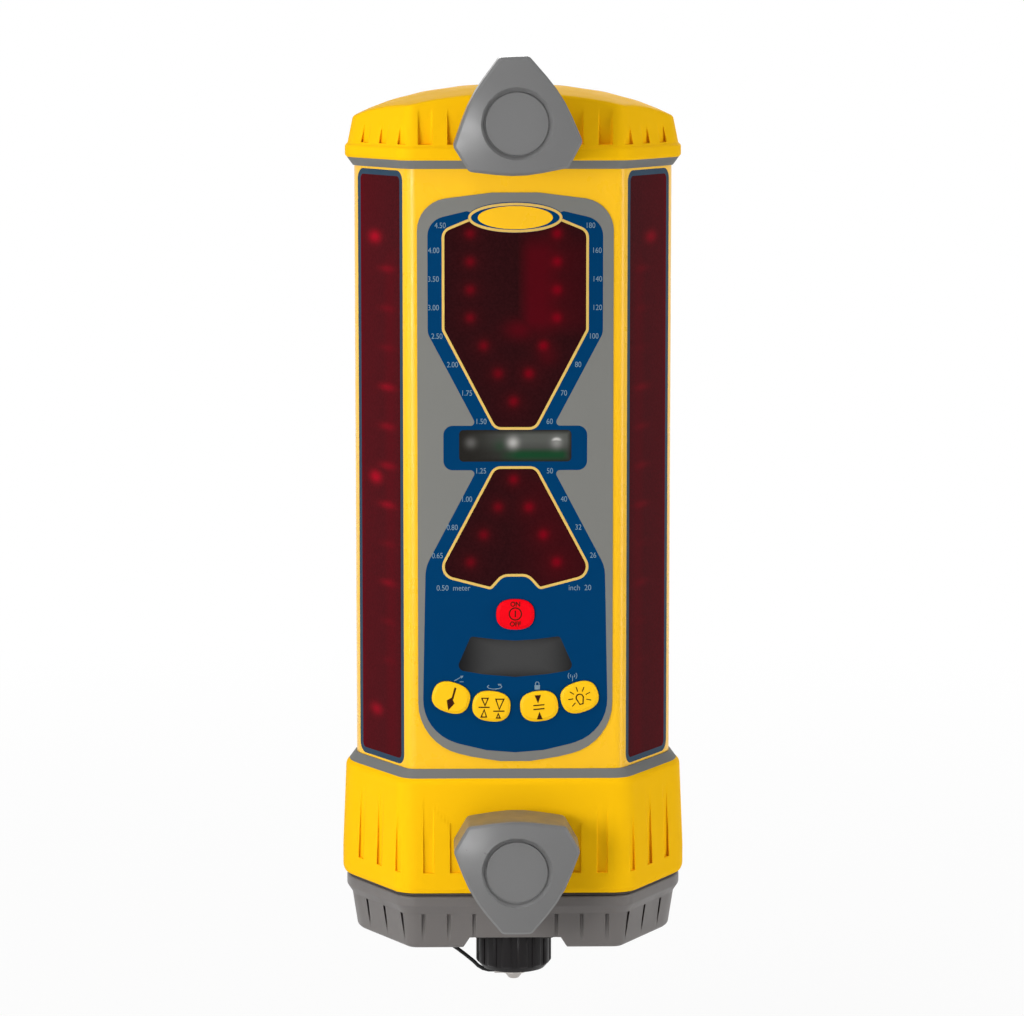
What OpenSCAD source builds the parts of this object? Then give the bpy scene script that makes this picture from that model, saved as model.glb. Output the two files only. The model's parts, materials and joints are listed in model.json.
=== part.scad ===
// Laser receiver for machine control. A tube with bevelled corners carries four light windows and a
// display panel, and two screw clamps, one in the top cap and one in the bottom collar, hold it on a mast.
// Millimetres, +Z up, front towards -Y. The origin is on the mast axis, level with the on-grade mark.

/* [Housing] */
// Width of the housing over its two sides
body_w = 130; // [126:1:136]
// Depth of the housing from front to back
body_d = 88; // [86:1:92]
// Height of the housing
body_h = 243; // [240:1:250]
// Height of the on-grade mark above the lower end of the housing
grade_h = 132; // [131:0.5:136]
// Width of the front and back flats
front_w = 86; // [84:1:88]
// Width of the narrow sides, between the bevels
side_flat = 12; // [10:1:14]
// Radius of the front and back corners
corner_r = 5.6; // [4.6:0.2:6.4]
// Wall thickness of the housing
wall = 4; // [3.6:0.1:4.4]

/* [Top cap] */
// Height of the cap from its gasket to the top of its dome
cap_h = 29.6; // [29:0.2:32]
// Radius of the dome
dome_r = 176; // [160:2:220]
// Reach of the cap's rim past the housing
cap_rim_out = 3.8; // [3.4:0.1:4.4]
// Height of the cap's rim
cap_rim_h = 5.6; // [4:0.2:6.4]
// Reach of the cap's wall past the housing, just above the rim
cap_wall_out = 2.7; // [2.4:0.1:3.1]
// How far the cap's wall leans in from the rim to the height of the dome
cap_lean = 4.9; // [4:0.1:5.6]

/* [Bottom collar and base] */
// Height of the collar
collar_h = 47; // [45:0.5:52]
// Reach of the collar's lower edge past the housing
collar_out = 6; // [5.4:0.1:6.6]
// Height of the base
base_h = 22.5; // [21.5:0.1:24]
// Reach of the base's upper ledge past the housing
base_ledge_out = 4.4; // [4:0.1:5]
// Height of the notch under the base
notch_h = 4.5; // [4:0.1:5]
// Width of the notch at its roof
notch_w = 37.2; // [35:0.2:39]
// Thickness of the two sloped gaskets
gasket_t = 3.4; // [3:0.1:4]
// Thickness of the seal between collar and base
seal_t = 1.6; // [1.4:0.1:1.8]

/* [Grip grooves] */
// Depth of the grooves where they are deepest
groove_depth = 1.3; // [0.9:0.1:1.4]
// Depth of the cap's grooves on the front and back where they are deepest
cap_face_groove_depth = 2.4; // [1.8:0.1:2.6]
// Depth of the base's grooves where they are deepest
base_groove_depth = 1.6; // [1.2:0.1:1.8]
// Width of a groove in the cap and collar
groove_w = 4.1; // [3:0.1:5]
// Distance between the grooves on the bevels
groove_pitch = 15.2; // [14:0.1:15.6]
// Width of a groove in the base
base_groove_w = 2.5; // [2:0.1:3]
// Distance between the front grooves of the base
base_groove_pitch = 10.4; // [9.5:0.1:11]

/* [Mast clamps] */
// Diameter of the mast that the clamps are closed on
mast_d = 50.8; // [50:0.2:52]
// Distance of the mast axis behind the middle of the housing
mast_back = 45; // [44:0.5:47]
// Room between the mast and the housing's back channel
channel_gap = 2; // [1.5:0.1:2.6]
// Half angle of the back channel
channel_a = 30; // [28:1:32]
// Diameter of a clamp screw
screw_d = 10; // [9:0.5:11]
// Travel of a clamp screw's jaw for one turn
screw_lead = 3; // [2:0.5:4]
// Travel of a jaw towards a thinner mast
jaw_close = 9; // [7:0.5:9.5]
// Travel of a jaw away from the mast
jaw_open = 6; // [4:0.5:6.5]
// Depth of a jaw's bridge behind the mast
jaw_t = 9.5; // [8:0.5:12]
// Height of a jaw's bridge
jaw_h = 18; // [14:0.5:18]
// Thickness of a jaw's arms
arm_t = 6; // [5:0.2:6.4]
// Height of a jaw's arms
arm_h = 12; // [10:0.2:12.4]
// Depth of the bar that the screw pulls
bar_t = 12; // [11:0.2:12.6]

/* [Knobs] */
// Distance of a knob's corner flats from its axis
knob_reach = 25.6; // [24:0.2:27]
// Distance of the middle of a knob's sides from its axis
knob_side = 20.2; // [19:0.2:21]
// Width of a knob's corner flats
knob_flat = 11.6; // [10:0.2:13]
// Depth of a knob
knob_t = 27.5; // [24:0.5:30]
// Radius of the round recess in a knob's face
disc_r = 12.4; // [11.6:0.1:12.8]

/* [Light windows] */
// Thickness of a window pane
window_t = 2.4; // [2:0.1:2.8]
// Width of the blue seal round a pane
window_seal_w = 2.3; // [1.8:0.1:2.6]
// Distance of a window's ends from the ends of the housing
window_end = 0.9; // [0.8:0.1:1.6]
// Distance between the photocells of a column
cell_pitch = 16; // [15.4:0.1:16.2]

/* [Display panel] */
// Width of the panel's plate
panel_w = 78.6; // [76:0.2:79]
// Thickness of the panel's plate
panel_t = 1.2; // [1:0.1:1.5]
// Thickness of the blue film let into the plate
film_t = 0.4; // [0.3:0.05:0.5]
// Width of the upper lens
upper_lens_w = 57.8; // [55:0.2:59]
// Height of the upper lens
upper_lens_h = 83.6; // [80:0.2:84]
// Width of the lower lens
lower_lens_w = 62.8; // [60:0.2:64]
// Height of the lower lens
lower_lens_h = 49.1; // [46:0.2:50]
// Width of the on-grade window
grade_lens_w = 45.2; // [43:0.2:47]
// Height of the on-grade window
grade_lens_h = 12.8; // [11:0.1:13.2]
// Width of the display window
lcd_lens_w = 48; // [45:0.2:49]
// Height of the display window
lcd_lens_h = 17.8; // [16:0.1:18.2]

/* [Keys] */
// Width of a key
key_w = 15.4; // [14:0.1:15.8]
// Height of a key
key_h = 12.4; // [11:0.1:13]
// Rise of a key above the panel
key_rise = 1.3; // [1:0.1:1.8]
// Travel of a key
key_travel = 0.8; // [0.5:0.1:1]
// Radius of the arc that the four lower keys follow
key_arc_r = 83; // [80:0.5:86]

/* [Connector and dust cap] */
// Radius of the connector's shell
shell_r = 12; // [11:0.1:12.6]
// Length of the connector's shell below its flange
shell_h = 13.8; // [12:0.2:15]
// Radius of the dust cap
dust_cap_r = 15.6; // [15:0.1:17]
// Height of the dust cap
dust_cap_h = 16.7; // [15.5:0.1:18]
// Travel of the dust cap when it is unscrewed
dust_cap_travel = 15; // [14.5:0.1:16]

/* [Hidden] */

yellow = "#f9c01a";
gasket_grey = "#767977";
base_grey = "#585454";
knob_grey = "#8d8d8d";
panel_grey = "#7f7f7c";
blue = "#014374";
lens_red = "#40100f";
board_green = "#1e5b34";
black = "#1c1c1e";
steel = "#afaaa8";

// Smoothness, overruns and fits
$fn = 48;
arc_step = 10;
foot_step = 30;
overrun = 1;
seat_gap = 0.05;
shaft_gap = 0.08;
slide_gap = 0.4;
mast_gap = 0.1;

// Heights, from the on-grade mark
body_z0 = -grade_h;
body_z1 = body_h - grade_h;
cap_z0 = body_z1 + gasket_t;
cap_z1 = cap_z0 + cap_h;
collar_z1 = body_z0 - gasket_t;
collar_z0 = collar_z1 - collar_h;
base_z1 = collar_z0 - seal_t;
base_z0 = base_z1 - base_h;
notch_z = base_z0 + notch_h;

// The bevels, and the radius that rounds the narrow sides off almost wholly
bevel_x = (body_w - front_w) / 2;
bevel_y = (body_d - side_flat) / 2;
bevel_len = norm([bevel_x, bevel_y]);
bevel_a = atan2(bevel_y, bevel_x);
side_round_share = 0.98;
side_r = side_round_share * side_flat / 2 / tan((90 - bevel_a) / 2);

// The housing's section: sharp corners with the radius of each, anticlockwise from the front right
body_outline = [
    [front_w / 2, -body_d / 2, corner_r], [body_w / 2, -side_flat / 2, side_r],
    [body_w / 2, side_flat / 2, side_r], [front_w / 2, body_d / 2, corner_r],
    [-front_w / 2, body_d / 2, corner_r], [-body_w / 2, side_flat / 2, side_r],
    [-body_w / 2, -side_flat / 2, side_r], [-front_w / 2, -body_d / 2, corner_r]
];

// Walls of the cap, collar and base, as heights and reaches past the housing
rim_edge = 0.7;
gasket_in = 0.6;
gasket_out = cap_rim_out - rim_edge;
cap_levels = [
    [0, gasket_out], [rim_edge, cap_rim_out], [cap_rim_h, cap_rim_out],
    [cap_rim_h + rim_edge, cap_wall_out], [cap_h, cap_wall_out - cap_lean]
];
collar_edge = 1.5;
collar_skirt_h = 10;
collar_lean = 1.5;
collar_levels = [
    [0, collar_out - rim_edge], [collar_edge, collar_out], [collar_skirt_h, collar_out],
    [collar_h - collar_edge, collar_out - collar_lean], [collar_h, gasket_out]
];
base_foot_r = 2;
base_foot_out = 0.2;
base_wall_h = 14.9;
base_wall_out = 2.2;
base_ledge_h = 4.3;
base_ledge_edge = 0.5;
base_levels = [
    each [for (a = [90 : -foot_step : 0])
        [base_foot_r * (1 - sin(a)), base_foot_out - base_foot_r * (1 - cos(a))]],
    [base_wall_h, base_wall_out],
    [base_h - base_ledge_h, base_ledge_out], [base_h - base_ledge_edge, base_ledge_out],
    [base_h, base_ledge_out - base_ledge_edge]
];
seal_groove = 1.2;
seal_bead_z0 = 0.5;
seal_bead_z1 = 1.2;
seal_levels = [
    [0, base_ledge_out - seal_groove], [seal_bead_z0, base_ledge_out - seal_groove],
    [seal_bead_z0, base_ledge_out], [seal_bead_z1, base_ledge_out],
    [seal_bead_z1, base_ledge_out - seal_groove], [seal_t, base_ledge_out - seal_groove]
];

// Grip grooves: the first one on each bevel, the one on the front, and the collar's recess at the knob
groove_start = 0.6;
groove_x = 35.25;
collar_groove_h = 8.4;
recess_half_w = 26.6;
recess_top_half_w = 33.2;
recess_shoulder_h = 27.9;
recess_top_h = 34.7;
base_groove_x = 16.7;
bevel_grooves = 3;
front_grooves = 3;
notch_flare = 2.8;

// Mast channel and clamp seat
mast_r = mast_d / 2;
seat_r = mast_r + mast_gap;
channel_r = mast_r + channel_gap;

// Clamp: heights of the screws, the knobs' seats and the pocket that each bar slides in
upper_screw_h = 15.5;
lower_screw_h = 15.2;
upper_z = cap_z0 + upper_screw_h;
lower_z = collar_z0 + lower_screw_h;
screw_r = screw_d / 2;
boss_r = 14;
boss_out = 8;
knob_seat_y = -body_d / 2 - boss_out;
washer_t = 1.2;
washer_r = 12.5;
knob_y = knob_seat_y - washer_t - seat_gap;
screw_boss_r = 8;
arm_drop = 5.9;
arm_x = seat_r + wall;
bar_x = arm_x + arm_t;
bar_front_y = -bar_t / 2;
ring_t = 1.6;
ring_room = 1;
pocket_y0 = bar_front_y - jaw_close - ring_t - ring_room - seat_gap;
pocket_y1 = bar_t / 2 + jaw_open + slide_gap;
screw_tip_y = bar_t / 2 + jaw_open - ring_room;
jaw_clear = 2;
jaw_front_y = body_d / 2 + collar_out + jaw_close + jaw_clear;
jaw_back_y = mast_back + seat_r + jaw_t;
jaw_edge = 3;
arm_screw_r = 1.5;
arm_screw_head_r = 2.75;
arm_screw_head_h = 3;
arm_screw_depth = 10;

// Knob details
knob_edge = 1.4;
knob_corner_r = 3;
knob_side_r = 50;
knob_lobes = 3;
plug_t = 1.6;
plug_drop = 1.1;
plug_room = 0.1;
disc_ring_w = 1.5;
head_r = 9.24;
head_h = 6.4;
head_sides = 6;

// Clamp covers and the M3 screws
cover_t = 2;
cover_side = 8.6;
cover_end = 3;
cover_screw_in = 4;
m3_r = 1.5;
m3_head_r = 2.75;
m3_head_h = 1.8;
m3_long = 8;
m3_pilot = 0.1;

// Light windows, in the plane of a bevel, and the photocell boards behind them
window_edge = 0.9;
window_over_side = 3.6;
front_tangent = corner_r * tan(bevel_a / 2);
side_tangent = side_r * tan((90 - bevel_a) / 2);
window_w = bevel_len - front_tangent - side_tangent + window_over_side - 2 * window_edge;
window_x = (bevel_len + front_tangent - side_tangent + window_over_side) / 2;
window_h = body_h - 2 * window_end;
window_z = (body_z0 + body_z1) / 2;
window_r = 4.5;
window_ledge = 2;
pane_w = window_w - 2 * window_seal_w;
pane_h = window_h - 2 * window_seal_w;
rail_w = 2;
rail_d = 5;
board_t = 1.6;
cell_board_end = 4;
cell_w = 5;
cell_h = 4;
cell_t = 2.2;
cell_off = 4;

// Tie rods: a pair behind the front windows' boards, a pair at the back, and their seats in the base
rod_r = 2;
rod_gap = 0.2;
rod_head_r = 3.6;
rod_head_h = 4;
rod_head_room = 0.4;
rod_seat_h = 5;
rod_bite = 11;
front_rod_in = 20.5;
front_rod_room = 2;
front_rod_depth = wall + rail_d + board_t + front_rod_room + rod_r;
rear_rod_side = 17;
rear_rod_in = 25;
rod_places = [
    [front_w / 2 + (front_rod_in * cos(bevel_a) - front_rod_depth) / sin(bevel_a), front_rod_in - body_d / 2],
    [front_w / 2 - rear_rod_side, body_d / 2 - rear_rod_in]
];

// Display panel: heights from the on-grade mark, and outlines as shares of each piece's half width
// and height, with the radius of each corner as a share of the half width, upwards along the right side
panel_proud = 0.4;
panel_back = panel_proud - panel_t;
panel_ledge = 1.5;
panel_z0 = -131.3;
panel_h = 235.8;
panel_shares = [[0, 0, 1.9], [1, 0.041, 0.55], [1, 0.9685, 0.33], [0, 1, 3.8]];
film_border = 1.7;
film_w = panel_w - 2 * film_border;
film_z0 = -129;
film_h = 223.3;
film_shares = [
    [0, 0, 1.95], [1, 0.0547, 0.49], [0.963, 0.3575, 0.37], [0.412, 0.5335, 0.04], [0.769, 0.5335, 0.1],
    [0.769, 0.6141, 0.1], [0.412, 0.6141, 0.04], [0.934, 0.7806, 0.16], [0.934, 0.9829, 0.21],
    [0.505, 1, 0]
];
badge_z = 91.7;
badge_w = 41;
badge_h = 15;
upper_lens_z0 = 7;
upper_lens_shares = [[0.28, 0, 0.14], [1, 0.474, 0.1], [1, 0.949, 0.14], [0.644, 1, 0]];
lower_lens_z0 = -57.9;
lower_lens_shares = [[0.166, 0.108, 0.17], [0.315, 0, 0.048], [1, 0.114, 0.16], [0.264, 1, 0.127]];
grade_lens_r = 1.8;
lcd_lens_z0 = -95.3;
lcd_lens_shares = [[0, 0, 3.2], [1, 0.23, 0.104], [0.75, 1, 0.0625], [0, 0.871, 2.6]];

// Keys: the power key, and the arc of the other four, which are spaced along it
power_key_z = -68.5;
key_row_z = -106.7;
key_mid_space = 4;
key_space = 1.4;
inner_key = (key_w + key_mid_space) / 2;
outer_key = inner_key + key_w + key_space;
key_angles = [for (s = [-outer_key, -inner_key, inner_key, outer_key]) s / key_arc_r * 180 / PI];
key_gap = 0.15;
key_edge = 0.6;
key_flange = 1.2;
key_flange_t = 0.9;
key_stem_r = 3;
oval_points = 36;
key_power = 2.5;

// Display board, its lamps, switches and screen
board_drop = 11.7;
display_board_w = 70;
display_board_room = 1.5;
display_board_h = 216;
display_board_z0 = -121;
boss_post_r = 3;
board_post_side = 3.5;
board_post_x = display_board_w / 2 - board_post_side;
board_post_in = 4;
led_r = 2.5;
led_h = 7.4;
led_row = 11.45;
upper_led_z = 16.7;
lower_led_z = -14.2;
led_spread_shares = [0, 0.36, 0.69, 1];
led_spread = 17.4;
upper_led_rows = 7;
lower_led_rows = 4;
grade_led_z = 1;
switch_w = 6;
switch_h = 3.5;
lcd_w = 44;
lcd_h = 19;
lcd_t = 7.3;

// Battery pack and control board
cell_r = 13;
battery_cell_h = 50;
battery_pitch = 28;
battery_side = 22.5;
battery_columns = floor((body_w - 2 * battery_side) / battery_pitch);
battery_y = -8;
battery_layers = 2;
cradle_t = 2;
cradle_gap = 0.3;
battery_z0 = body_z0 + wall;
control_board_w = 76;
control_board_h = 96;
control_board_z0 = -12;
control_post_h = 5;
control_post_in = 5;

// Connector and dust cap, on an axis in front of the middle of the housing
connector_y = -14;
flange_w = 34;
flange_t = 2;
flange_r = 3;
flange_screw_in = 3.4;
barrel_r = 11;
barrel_h = 12;
shell_bore_r = 9.5;
insert_h = 8;
insert_z = notch_z - flange_t - insert_h;
pin_r = 0.7;
pin_h = 6;
pin_circle_r = 5.5;
pins_round = 6;
thread_gap = 0.1;
cap_wall_t = 3;
cap_bottom_edge = 3;
cap_seal_t = 0.45;
cap_seal_w = 3.5;
flutes = 14;
flute_r = 1.3;
flute_out = 0.5;
dust_cap_z0 = notch_z - flange_t - shell_h - cap_wall_t - cap_seal_t - seat_gap;
pivot_r = 2;
pivot_head_r = 4;
pivot_head_h = 2.6;
pivot_collar_r = 3.5;
pivot_collar_h = 1.2;
pivot_disc_r = 3.2;
pivot_disc_t = 0.7;
eyelet_r = 5;
eyelet_t = 1.2;
ferrule_r = 1.3;
ferrule_x = 8;
anchor_r = 3.2;
anchor_h = 2.6;
anchor_shank_r = 1.5;
anchor_shank_h = 8;

// Tether: its route from the anchor to the eyelet, from the middle of the housing
tether_d = 1.6;
tether_sides = 8;
tether_route = [
    [-33, 2.7, -207.8], [-33, 0.4, -207.9], [-32.9, -2, -208.3], [-32.4, -4.4, -208.8],
    [-31.4, -6.7, -209.6], [-29.9, -8.7, -210.5], [-27.9, -10.3, -211.6], [-25.6, -11.5, -213],
    [-23.2, -12.3, -214.5], [-20.8, -12.9, -216.2], [-18.6, -13.3, -217.9], [-16.6, -13.6, -219.5],
    [-14.8, -13.8, -221.3], [-12.8, -13.9, -222.5], [-10.4, -14, -223.1], [-8, -14, -223.1]
];
anchor_place = [-33, 6];

// Geometry of outlines: points are [x, y, corner radius], anticlockwise
function unit(v) = v / norm(v);
function flat(p) = [p[0], p[1]];
function turned(v, a) = [v[0] * cos(a) - v[1] * sin(a), v[0] * sin(a) + v[1] * cos(a)];
function before(pts, i) = pts[(i + len(pts) - 1) % len(pts)];
function after(pts, i) = pts[(i + 1) % len(pts)];
function edge_in(pts, i) = unit(flat(pts[i]) - flat(before(pts, i)));
function edge_out(pts, i) = unit(flat(after(pts, i)) - flat(pts[i]));
function turn_at(pts, i) =
    let (a = edge_in(pts, i), b = edge_out(pts, i))
    atan2(a[0] * b[1] - a[1] * b[0], a * b);

// The outline moved outwards by g, with its corner radii kept concentric
function grown_corner(pts, i, g) =
    let (a = edge_in(pts, i), b = edge_out(pts, i), na = [a[1], -a[0]], nb = [b[1], -b[0]])
    let (q = flat(pts[i]) + g * (na + nb) / (1 + na * nb), r = pts[i][2])
    [q[0], q[1], r == 0 ? 0 : max(r + g * sign(turn_at(pts, i)), seat_gap)];
function grow(pts, g) = [for (i = [0 : len(pts) - 1]) grown_corner(pts, i, g)];

// The outline with its corners drawn as arcs
function arc_at(pts, i) =
    let (t = turn_at(pts, i), a = edge_in(pts, i), r = pts[i][2], n = ceil(abs(t) / arc_step))
    let (q = flat(pts[i]) - a * r * tan(abs(t) / 2), c = q + sign(t) * r * [-a[1], a[0]])
    [for (k = [0 : n]) c + turned(q - c, t * k / n)];
function rounded(pts) = [for (i = [0 : len(pts) - 1])
    each (pts[i][2] == 0 ? [flat(pts[i])] : arc_at(pts, i))];

function rect(w, h, r) = [[w / 2, -h / 2, r], [w / 2, h / 2, r], [-w / 2, h / 2, r], [-w / 2, -h / 2, r]];
function oval(w, h) = [for (i = [0 : oval_points - 1])
    [cos(i * 360 / oval_points) * w / 2, sin(i * 360 / oval_points) * h / 2]];
function squared(v) = sign(v) * pow(abs(v), 2 / key_power);
function key_oval(w, h) = [for (i = [0 : oval_points - 1])
    [squared(cos(i * 360 / oval_points)) * w / 2, squared(sin(i * 360 / oval_points)) * h / 2]];

// A right half, from the bottom up, joined to its mirror image
function both_sides(half) = concat(half,
    [for (i = [len(half) - 1 : -1 : 0]) if (half[i][0] > 0) [-half[i][0], half[i][1], half[i][2]]]);
function from_shares(shares, w, h, z0) =
    both_sides([for (s = shares) [s[0] * w / 2, z0 + s[1] * h, s[2] * w / 2]]);

panel_outline = from_shares(panel_shares, panel_w, panel_h, panel_z0);
film_outline = from_shares(film_shares, film_w, film_h, film_z0);
upper_lens_outline = from_shares(upper_lens_shares, upper_lens_w, upper_lens_h, upper_lens_z0);
lower_lens_outline = from_shares(lower_lens_shares, lower_lens_w, lower_lens_h, lower_lens_z0);
lcd_lens_outline = from_shares(lcd_lens_shares, lcd_lens_w, lcd_lens_h, lcd_lens_z0);
grade_lens_outline = rect(grade_lens_w, grade_lens_h, grade_lens_r);
lens_outlines = [upper_lens_outline, lower_lens_outline, grade_lens_outline, lcd_lens_outline];
knob_outline = [for (k = [0 : knob_lobes - 1]) each [for (p = [
        [knob_flat / 2, knob_reach, knob_corner_r, 0], [-knob_flat / 2, knob_reach, knob_corner_r, 0],
        [0, knob_side, knob_side_r, 180 / knob_lobes]])
    let (q = turned(flat(p), p[3] + k * 360 / knob_lobes)) [q[0], q[1], p[2]]]];

// A solid through rings of points at rising heights
module skin(rings) {
    n = len(rings[0][1]);
    top = (len(rings) - 1) * n;
    polyhedron(
        points = [for (r = rings) for (p = r[1]) [p[0], p[1], r[0]]],
        faces = concat(
            [[for (i = [0 : n - 1]) i]],
            [[for (i = [n - 1 : -1 : 0]) top + i]],
            [for (k = [0 : len(rings) - 2]) for (i = [0 : n - 1])
                let (a = k * n + i, b = k * n + (i + 1) % n)
                each [[a, a + n, b + n], [a, b + n, b]]]
        )
    );
}

// An outline skinned through levels of [height, reach past the outline]
module loft(levels, outline) {
    skin([for (l = levels) [l[0], rounded(grow(outline, l[1]))]]);
}

// Pieces are drawn about the middle of the housing and set in front of the mast here
module placed() {
    translate([0, -mast_back, 0]) children();
}

// Planes of the front face and of a bevel: x along the face, y up, z outwards
module on_front() {
    translate([0, -body_d / 2, 0]) rotate([90, 0, 0]) children();
}

module on_bevel(side, end) {
    mirror([side < 0 ? 1 : 0, 0, 0]) mirror([0, end > 0 ? 1 : 0, 0])
        translate([front_w / 2, -body_d / 2, 0]) rotate([0, 0, bevel_a]) rotate([90, 0, 0]) children();
}

module on_bevels() {
    for (side = [-1, 1], end = [-1, 1]) on_bevel(side, end) children();
}

module at_pairs(places) {
    for (side = [-1, 1], p = places) translate([side * p[0], p[1], 0]) children();
}

// Section of the back channel for a round of radius r on the mast axis
module channel_section(r) {
    floor_y = mast_back - r;
    floor_x = r * (1 - sin(channel_a)) / cos(channel_a);
    back_y = body_d / 2 + collar_out + overrun;
    back_x = floor_x + (back_y - floor_y) * tan(channel_a);
    polygon([[-floor_x, floor_y], [floor_x, floor_y], [back_x, back_y], [-back_x, back_y]]);
}

// Section of the hollow inside the housing
module hollow_section() {
    difference() {
        polygon(rounded(grow(body_outline, -wall)));
        channel_section(channel_r + wall);
    }
}

module channel_cut(z0, z1) {
    translate([0, 0, z0 - overrun]) linear_extrude(z1 - z0 + 2 * overrun) channel_section(channel_r);
}

// Round seat for the mast, open to the back
module saddle_cut(z0, z1) {
    h = z1 - z0 + 2 * overrun;
    translate([0, mast_back, z0 - overrun]) cylinder(r = seat_r, h = h);
    translate([-seat_r, mast_back, z0 - overrun]) cube([2 * seat_r, body_d / 2, h]);
}

module rod_holes(z0, z1) {
    at_pairs(rod_places) translate([0, 0, z0]) cylinder(r = rod_r + rod_gap, h = z1 - z0);
}

// Grooves of one height with flat floors, on the front, the back and the four bevels. Those of the bevels
// have walls that run straight to the front or to the back, as a mould draws them
function groove_floor_x(k, w, reach) =
    front_w / 2 + (groove_start + k * groove_pitch - w / 2) * cos(bevel_a) + reach * sin(bevel_a);

module bevel_groove_cuts(w, reach, z0, z1) {
    for (side = [-1, 1], end = [-1, 1]) intersection() {
        on_bevel(side, end) translate([-bevel_len, z0, reach])
            cube([3 * bevel_len, z1 - z0, 2 * collar_out]);
        mirror([side < 0 ? 1 : 0, 0, 0]) mirror([0, end > 0 ? 1 : 0, 0])
            for (k = [0 : bevel_grooves - 1])
                translate([groove_floor_x(k, w, reach), -body_d, z0])
                    cube([w * cos(bevel_a), body_d, z1 - z0]);
    }
}

module face_groove_cut(x, w, reach, z0, z1) {
    for (end = [0, 1], side = [-1, 1]) mirror([0, end, 0]) on_front()
        translate([side * x - w / 2, z0, reach]) cube([w, z1 - z0, collar_out]);
}

// Panel shapes
module key_place(k) {
    translate([0, key_row_z + key_arc_r, 0]) rotate([0, 0, key_angles[k]]) translate([0, -key_arc_r, 0])
        children();
}

module at_keys() {
    translate([0, power_key_z, 0]) children();
    for (k = [0 : len(key_angles) - 1]) key_place(k) children();
}

module film_section() {
    polygon(rounded(film_outline));
    translate([0, badge_z, 0]) polygon(oval(badge_w, badge_h));
}

module lens_holes(shrink) {
    for (o = lens_outlines) polygon(rounded(grow(o, -shrink)));
}

module key_holes(side_room, end_room) {
    at_keys() polygon(key_oval(key_w + 2 * side_room, key_h + 2 * end_room));
}

module lens(outline) {
    on_front() translate([0, 0, panel_back]) linear_extrude(panel_t) polygon(rounded(outline));
}

// Posts that the display board and the control board are screwed to
module at_display_posts() {
    for (side = [-1, 1], z = [display_board_z0 + board_post_in, grade_led_z,
            display_board_z0 + display_board_h - board_post_in])
        translate([side * board_post_x, z, 0]) children();
}

control_post_y = mast_back - channel_r - wall;
control_board_y = control_post_y - control_post_h;
control_post_x = channel_r * (1 - sin(channel_a)) / cos(channel_a);

module at_control_posts() {
    for (side = [-1, 1], z = [control_board_z0 + control_post_in,
            control_board_z0 + control_board_h - control_post_in])
        translate([side * control_post_x, control_board_y, z]) rotate([90, 0, 0]) children();
}

module main_housing() {
    color(yellow) placed() difference() {
        union() {
            translate([0, 0, body_z0]) linear_extrude(body_h) difference() {
                polygon(rounded(body_outline));
                hollow_section();
                channel_section(channel_r);
            }
            on_bevels() for (s = [-1, 1])
                translate([window_x + s * (pane_w / 2 - window_ledge) - (s < 0 ? rail_w : 0),
                    window_z - pane_h / 2 + cell_board_end, -wall - rail_d])
                    cube([rail_w, pane_h - 2 * cell_board_end, rail_d + seat_gap]);
            on_front() at_display_posts() translate([0, 0, -board_drop])
                cylinder(r = boss_post_r, h = board_drop - wall + seat_gap);
            at_control_posts() mirror([0, 0, 1]) cylinder(r = boss_post_r, h = control_post_h + seat_gap);
        }
        on_bevels() translate([window_x, window_z, 0]) {
            translate([0, 0, -window_t]) linear_extrude(window_t + overrun)
                polygon(rounded(rect(window_w, window_h, window_r)));
            translate([0, 0, -wall - overrun]) linear_extrude(wall + overrun)
                polygon(rounded(rect(pane_w - 2 * window_ledge, pane_h - 2 * window_ledge, window_r / 2)));
        }
        on_front() {
            translate([0, 0, panel_back]) linear_extrude(panel_t) polygon(rounded(panel_outline));
            translate([0, 0, -wall - overrun]) linear_extrude(wall + overrun) {
                lens_holes(panel_ledge);
                key_holes(2 * key_gap, key_flange + 2 * key_gap);
            }
            at_display_posts() translate([0, 0, -board_drop - overrun])
                cylinder(r = m3_r + m3_pilot, h = m3_long + overrun - board_t);
        }
        at_control_posts() mirror([0, 0, 1]) translate([0, 0, -overrun])
            cylinder(r = m3_r + m3_pilot, h = m3_long + overrun - board_t);
    }
}

// A sloped ring that seals the housing against the cap or the collar
module gasket(z0, reach0, reach1) {
    color(gasket_grey) placed() difference() {
        translate([0, 0, z0]) loft([[0, reach0], [gasket_t, reach1]], body_outline);
        translate([0, 0, z0 - overrun]) linear_extrude(gasket_t + 2 * overrun) hollow_section();
        channel_cut(z0, z0 + gasket_t);
    }
}

module top_gasket() {
    gasket(body_z1, gasket_in, gasket_out);
}

module bottom_gasket() {
    gasket(collar_z1, gasket_out, gasket_in);
}

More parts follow.
